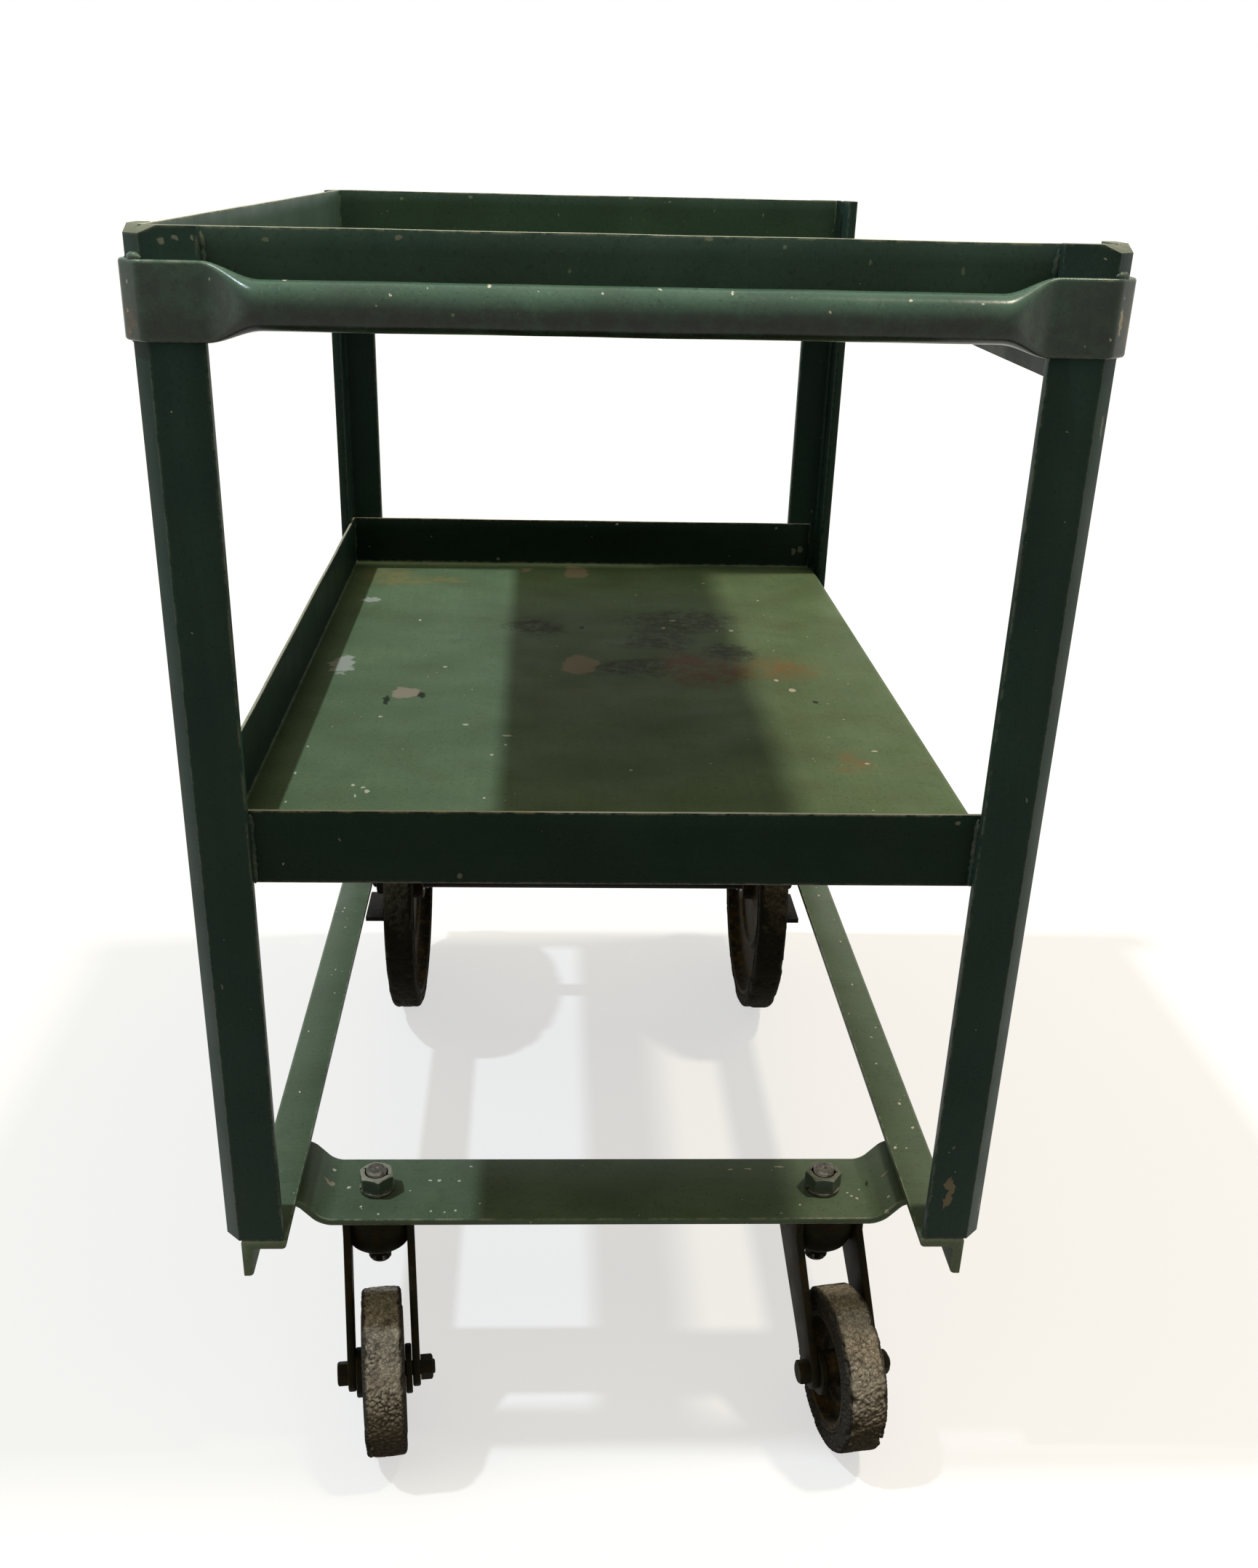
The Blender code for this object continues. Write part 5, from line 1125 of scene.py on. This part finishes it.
def perish(shape, look, seed):
    # cracks between the blocks, a lumpy tread and bits torn from the shoulders
    age, edge = perishSizes, look["edge"]
    crackLayer = shape.verts.layers.float.new("crack")
    sideLayer = shape.verts.layers.float.new("side")
    shape.normal_update()
    shift = Vector((seed * 3.7, seed * 1.9, seed * 5.3))
    half = look["width"] / 2
    for spot in shape.verts:
        radius = math.hypot(spot.co.x, spot.co.y)
        spot[sideLayer] = min(1.0, max(0.0, (abs(spot.co.z) - half + edge) / (edge * age["sideFade"])))
        if radius < look["rim"] + age["rimClear"]:
            continue
        wander = noise.noise_vector(spot.co / age["waver"] + shift) * age["waverReach"]
        reach = noise.voronoi((spot.co + wander) / look["cell"] + shift)[0]
        crack = max(0.0, 1 - (reach[1] - reach[0]) / look["crackShare"])
        depthShare = age["shallow"] + age["deepen"] * noise.noise(spot.co / age["patch"] + shift)
        sink = crack * look["depth"] * depthShare
        sink += look["lump"] * (0.5 + 0.5 * noise.noise(spot.co / (look["cell"] * age["lumpCells"]) + shift))
        down, inward = edge * age["shoulderDown"], edge * age["shoulderIn"]
        shoulder = max(0.0, (radius - look["outer"] + down) / down)
        shoulder *= max(0.0, (abs(spot.co.z) - half + inward) / inward)
        torn = max(0.0, noise.noise(spot.co / look["tornSize"] + shift * 2) - age["tornFrom"])
        sink += shoulder * torn * look["torn"] * age["tornGain"]
        spot.co -= spot.normal * sink
        spot[crackLayer] = min(1.0, crack * age["crackTint"] * depthShare + age["tornTint"] * shoulder * torn)


def makeWheel(name, kind, centre, yaw, body, replaced, rubber, discPaint, seed):
    look = wheelLooks[kind]
    place = wheelPlace(centre, yaw)
    shape = bmesh.new()
    addTurned(shape, discOutline(look), place, 96)
    finishPiece(name + "Disc", shape, discPaint, body, [replaced + "_disc"], 35)
    shape = bmesh.new()
    addTurned(shape, tyreOutline(look), Matrix.Identity(4), look["steps"])
    bmesh.ops.recalc_face_normals(shape, faces=shape.faces)
    perish(shape, look, seed)
    bmesh.ops.transform(shape, verts=shape.verts, matrix=place)
    finishPiece(name + "Tyre", shape, rubber, body, [replaced + "_tyre"], 80)


def makeCaster(side):
    look = casterSizes
    low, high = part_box("caster_stem_" + side)
    centre = Vector(((low.x + high.x) / 2, (low.y + high.y) / 2, 0))
    yaw = math.radians(look["yaw"][side])
    standing = Matrix.Translation(centre)
    swivel = standing @ Matrix.Rotation(yaw, 4, "Z")
    swivelBody, wheelBody = f"caster_{side}_swivel", f"caster_{side}_wheel"

    shape = bmesh.new()
    addTurned(shape, stemOutline(), standing, 40)
    finishPiece(side + "Stem", shape, steel, "frame", ["caster_stem_" + side], 30)

    shape = bmesh.new()
    addSplitWasher(shape, look["stemRadius"] + look["gap"], look["washerRadius"], look["washerThick"],
                   look["washerRise"], standing @ Matrix.Translation((0, 0, look["washerLow"]))
                   @ Matrix.Rotation(math.radians(look["washerTurn"]), 4, "Z"))
    bmesh.ops.recalc_face_normals(shape, faces=shape.faces)
    softenEdges(shape, look["washerSoft"], 50, 2)
    finishPiece(side + "LockWasher", shape, steel, "frame", ["lock_washer_" + side], 40)

    shape = bmesh.new()
    addHexBlock(shape, look["nutFlats"], look["nutHeight"], look["stemRadius"] + look["gap"],
                standing @ Matrix.Translation((0, 0, look["nutLow"]))
                @ Matrix.Rotation(math.radians(look["nutTurn"][side]) + math.pi / 6, 4, "Z"))
    finishPiece(side + "StemNut", shape, paints[side + "NutEnamel"], "frame", ["stem_nut_" + side], 25)

    shape = bmesh.new()
    castlePlace = standing @ Matrix.Translation((0, 0, look["castleTop"])) @ Matrix.Rotation(math.pi, 4, "X")
    addHexBlock(shape, look["castleFlats"], look["castleHeight"], look["stemRadius"] + look["gap"], castlePlace)
    for number in range(look["lugs"]):  # the slots between the lugs take a split pin
        turned = 360 / look["lugs"] * number
        start, end = math.radians(turned + look["lugFrom"]), math.radians(turned + look["lugTo"])
        bore = look["stemRadius"] + look["gap"]
        lug = arcPoints((0, 0), look["lugRadius"], start, end, 6) + arcPoints((0, 0), bore, end, start, 6)
        addPlate(shape, lug, look["lugHeight"], castlePlace @ Matrix.Translation((0, 0, look["castleHeight"])),
                 look["lugSoft"])
    finishPiece(side + "CastleNut", shape, irons["casterIron"], "frame", ["castle_nut_" + side], 30)

    shape = bmesh.new()
    addTurned(shape, housingOutline(), swivel, 64)
    stand = Matrix.Rotation(math.pi / 2, 4, "Z") @ Matrix.Rotation(math.pi / 2, 4, "X")
    for leg in (-1, 1):
        inner = leg * look["forkGap"] / 2 - (look["legThick"] if leg < 0 else 0)
        addPlate(shape, [tuple(spot) for spot in legOutline()], look["legThick"],
                 swivel @ Matrix.Translation((inner, 0, 0)) @ stand, look["legSoft"])
    finishPiece(side + "Fork", shape, irons["casterIron"], swivelBody, [f"caster_{side}_fork"], 35)

    hub = swivel @ Matrix.Translation((0, -look["trail"], look["wheel"])) @ Matrix.Rotation(math.pi / 2, 4, "Y")
    outer = look["forkGap"] / 2 + look["legThick"] + look["gap"]
    shape = bmesh.new()
    addHexBlock(shape, look["headFlats"], look["headHeight"], look["headBore"],
                hub @ Matrix.Translation((0, 0, -outer)) @ Matrix.Rotation(math.pi, 4, "X"))
    end = outer + look["axleNutHeight"] + look["axleOut"]
    radius, chamfer = look["axleRadius"], look["axleChamfer"]
    addTurned(shape, [(0, -outer), (radius, -outer), (radius, end - chamfer), (radius - chamfer, end), (0, end)],
              hub, 32)
    finishPiece(side + "AxleBolt", shape, irons["casterIron"], swivelBody, [f"caster_{side}_axle_bolt"],
                30)

    shape = bmesh.new()
    addHexBlock(shape, look["headFlats"], look["axleNutHeight"], look["axleRadius"] + look["gap"],
                hub @ Matrix.Translation((0, 0, outer)) @ Matrix.Rotation(math.radians(look["axleNutTurn"]), 4, "Z"))
    finishPiece(side + "AxleNut", shape, irons["casterIron"], swivelBody, [f"caster_{side}_axle_nut"], 30)

    inner, leg = wheelLooks["caster"]["width"] / 2 + look["gap"], look["forkGap"] / 2 - look["gap"]
    for face, start, stop in (("left", -leg, -inner), ("right", inner, leg)):
        shape = bmesh.new()
        bore, radius, edge = look["axleRadius"] + look["gap"], look["spacerRadius"], look["edge"]
        addTurned(shape, [(bore, start), (radius - edge, start), (radius, start + edge), (radius, stop - edge),
                          (radius - edge, stop), (bore, stop)], hub, 48)
        finishPiece(side + "Spacer" + face.capitalize(), shape, irons["casterIron"], swivelBody,
                    [f"caster_{side}_spacer_{face}"], 35)

    low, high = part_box(f"caster_{side}_wheel_tyre")
    makeWheel(side + "CasterWheel", "caster", (low + high) / 2, yaw, wheelBody, f"caster_{side}_wheel",
              rubbers["casterRubber"], irons["discIron"], 1.0 if side == "left" else 2.3)


for side in ("left", "right"):
    makeCaster(side)
print("casters made")

# far wheels, axle and hangers
axleSizes = {"radius": 0.016, "chamfer": 0.002, "washerRadius": 0.024, "collarRadius": 0.025, "hangerWall": 0.006,
             "hangerLength": 0.076, "hangerTop": 0.2272, "hangerLow": 0.1275, "hangerFace": 0.2586,
             "hangerEnd": 0.2912, "hangerBend": 0.004, "hangerSoft": 0.0007, "gap": 0.0003, "edge": 0.001,
             "screw": 0.0075, "screwUp": 0.0028, "screwSoft": 0.0007, "pinBore": 0.0012, "pinIn": 0.0006,
             "pinDown": 0.0008}


def makeFarAxle():
    look = axleSizes
    low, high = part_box("far_axle")
    centre = (low + high) / 2
    hub = wheelPlace(centre, 0.0)
    half, radius, chamfer, edge = (high.x - low.x) / 2, look["radius"], look["chamfer"], look["edge"]
    shape = bmesh.new()
    addTurned(shape, [(0, -half), (radius - chamfer, -half), (radius, -half + chamfer), (radius, half - chamfer),
                      (radius - chamfer, half), (0, half)], hub, 48)
    finishPiece("farAxle", shape, irons["axleIron"], "frame", ["far_axle"], 30)
    for side, sign in (("left", -1), ("right", 1)):
        for part, nodeName, outer, paint, slotName in (
                ("AxleWasher", "axle_washer_" + side, look["washerRadius"], steel, "bare_steel"),
                ("AxleCollar", "axle_collar_" + side, look["collarRadius"], irons["axleIron"], "dark_iron")):
            low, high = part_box(nodeName)
            start, end = low.x - centre.x, high.x - centre.x
            shape = bmesh.new()
            addTurned(shape, [(radius + look["gap"], start), (outer - edge, start), (outer, start + edge),
                              (outer, end - edge), (outer - edge, end), (radius + look["gap"], end)], hub, 56)
            if part == "AxleCollar":  # the square head of its set screw
                head = bmesh.ops.create_cube(shape, size=look["screw"], matrix=Matrix.Translation(
                    centre + Vector(((start + end) / 2, 0, outer + look["screwUp"]))))["verts"]
                bmesh.ops.bevel(shape, geom=list({line for spot in head for line in spot.link_edges}),
                                offset=look["screwSoft"], offset_type="OFFSET", segments=2, profile=0.5,
                                affect="EDGES", material=-1)
            finishPiece(side + part, shape, paint, "frame", [nodeName], 35)
        low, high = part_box("axle_pin_" + side)
        reach, pinHalf = (high.x - low.x) / 2, (high.z - low.z) / 2
        bore, inward, down = look["pinBore"], look["pinIn"], look["pinDown"]
        shape = bmesh.new()
        addTurned(shape, [(bore, -pinHalf), (reach - inward, -pinHalf), (reach, -pinHalf + down),
                          (reach, pinHalf - down), (reach - inward, pinHalf), (bore, pinHalf)],
                  Matrix.Translation((low + high) / 2), 24)
        finishPiece(side + "AxlePin", shape, steel, "frame", ["axle_pin_" + side], 35)
        # the hanger is a channel with its back to the wheel
        along = centre.y - look["hangerLength"] / 2
        path = [(sign * x, along, z) for x, z in ((look["hangerEnd"], look["hangerTop"]),
                                                  (look["hangerFace"], look["hangerTop"]),
                                                  (look["hangerFace"], look["hangerLow"]),
                                                  (look["hangerEnd"], look["hangerLow"]))]
        shape = foldedStrip(path, look["hangerLength"], look["hangerWall"], look["hangerBend"], look["hangerSoft"],
                            Vector((-sign, 0, 0)))
        finishPiece(side + "Hanger", shape, irons["axleIron"], "frame", ["axle_hanger_" + side], 35)
        low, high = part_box(f"far_{side}_wheel_tyre")
        makeWheel(side + "FarWheel", "far", (low + high) / 2, 0.0, f"far_{side}_wheel", f"far_{side}_wheel",
                  rubbers["farRubber"], irons["discIron"], 4.1 if side == "left" else 5.6)


makeFarAxle()
print("far wheels made")

# weld beads
weldSizes = {"bead": 0.0026, "collar": 0.0032, "thin": 0.7, "foot": 0.0024, "proud": 0.0006, "tuck": 0.0004,
             "height": 0.0545, "cornerFrom": 0.0130, "cornerTo": 0.0030, "strapTop": 0.0080, "strapLow": 0.0050,
             "strapEnd": 0.0270, "footFrom": 0.2715, "footTo": 0.2990, "barFrom": 0.2690, "barTo": 0.2905}


def makeWelds():
    look = weldSizes
    proud, tuck = look["proud"], look["tuck"]
    edge = postSizes["half"] - postSizes["leg"] - tuck
    collarTop = handleSizes["height"] + handleSizes["flatHeight"] / 2
    collarLow = collarTop - handleSizes["flatHeight"]
    for name, level in (("top", traySizes["topFloor"]), ("lower", traySizes["lowerFloor"])):
        shape = bmesh.new()
        seed = 3 if name == "top" else 11
        for sign in (-1, 1):
            for along in (-proud, trayLength + proud):
                seed += 1
                addWeld(shape, at(sign * edge, along, level - 0.001), at(sign * edge, along, level + look["height"]),
                        look["bead"], seed, (1, 0, 0))
        finishPiece(name + "PostWelds", shape, paints["shadedPostEnamel"], "frame", (), 60)
    shape = bmesh.new()
    corner, strapEnd = postSizes["half"], look["strapEnd"]
    for sign in (-1, 1):
        side = sign * (corner + proud)
        addWeld(shape, at(sign * (corner - look["cornerFrom"]), -0.0108, collarTop + proud),
                at(sign * (corner - look["cornerTo"]), -0.0045, collarTop + proud), look["collar"], 31 + sign)
        addWeld(shape, at(side, look["strapTop"], collarTop - 0.0002), at(side, strapEnd, collarTop - 0.0002),
                look["collar"] * look["thin"], 35 + sign)
        addWeld(shape, at(side, look["strapLow"], collarLow - tuck), at(side, strapEnd, collarLow - tuck),
                look["collar"] * look["thin"], 38 + sign)
    finishPiece("collarWelds", shape, paints["handleEnamel"], "frame", (), 60)
    shape = bmesh.new()
    foot = postSizes["foot"]
    for sign in (-1, 1):
        for along in (tuck, trayLength - tuck):
            addWeld(shape, at(sign * look["footFrom"], along, foot + tuck),
                    at(sign * look["footTo"], along, foot + tuck), look["foot"], 50 + sign)
        for along in (barSizes["nearEdge"], barSizes["nearEdge"] + barSizes["depth"]):
            addWeld(shape, at(sign * look["barFrom"], along, barSizes["endTop"] - 0.0003),
                    at(sign * look["barTo"], along, barSizes["endTop"] - 0.0003), look["foot"], 60 + sign)
    finishPiece("footWelds", shape, paints["barEnamel"], "frame", (), 60)


makeWelds()
print("welds made")

# every CAD node gets its finish, also where a fuller piece stands for it
finishByNode = {
    "post": paints["shadedPostEnamel"], "push_handle": paints["handleEnamel"], "runner": paints["barEnamel"],
    "caster_bar": paints["barEnamel"], "top_tray": paints["shadedLipEnamel"], "lower_tray": paints["trayEnamel"],
    "tyre": rubbers["casterRubber"], "bush": bronze, "disc": irons["discIron"], "stem": steel, "washer": steel,
    "pin": steel, "collar": irons["axleIron"], "hanger": irons["axleIron"], "axle": irons["axleIron"],
}
for nodeName, node in nodes.items():
    found = [paint for part, paint in finishByNode.items() if part in nodeName]
    paint = found[0] if found else irons["casterIron"]
    node.data.materials.clear()
    node.data.materials.append(paint)
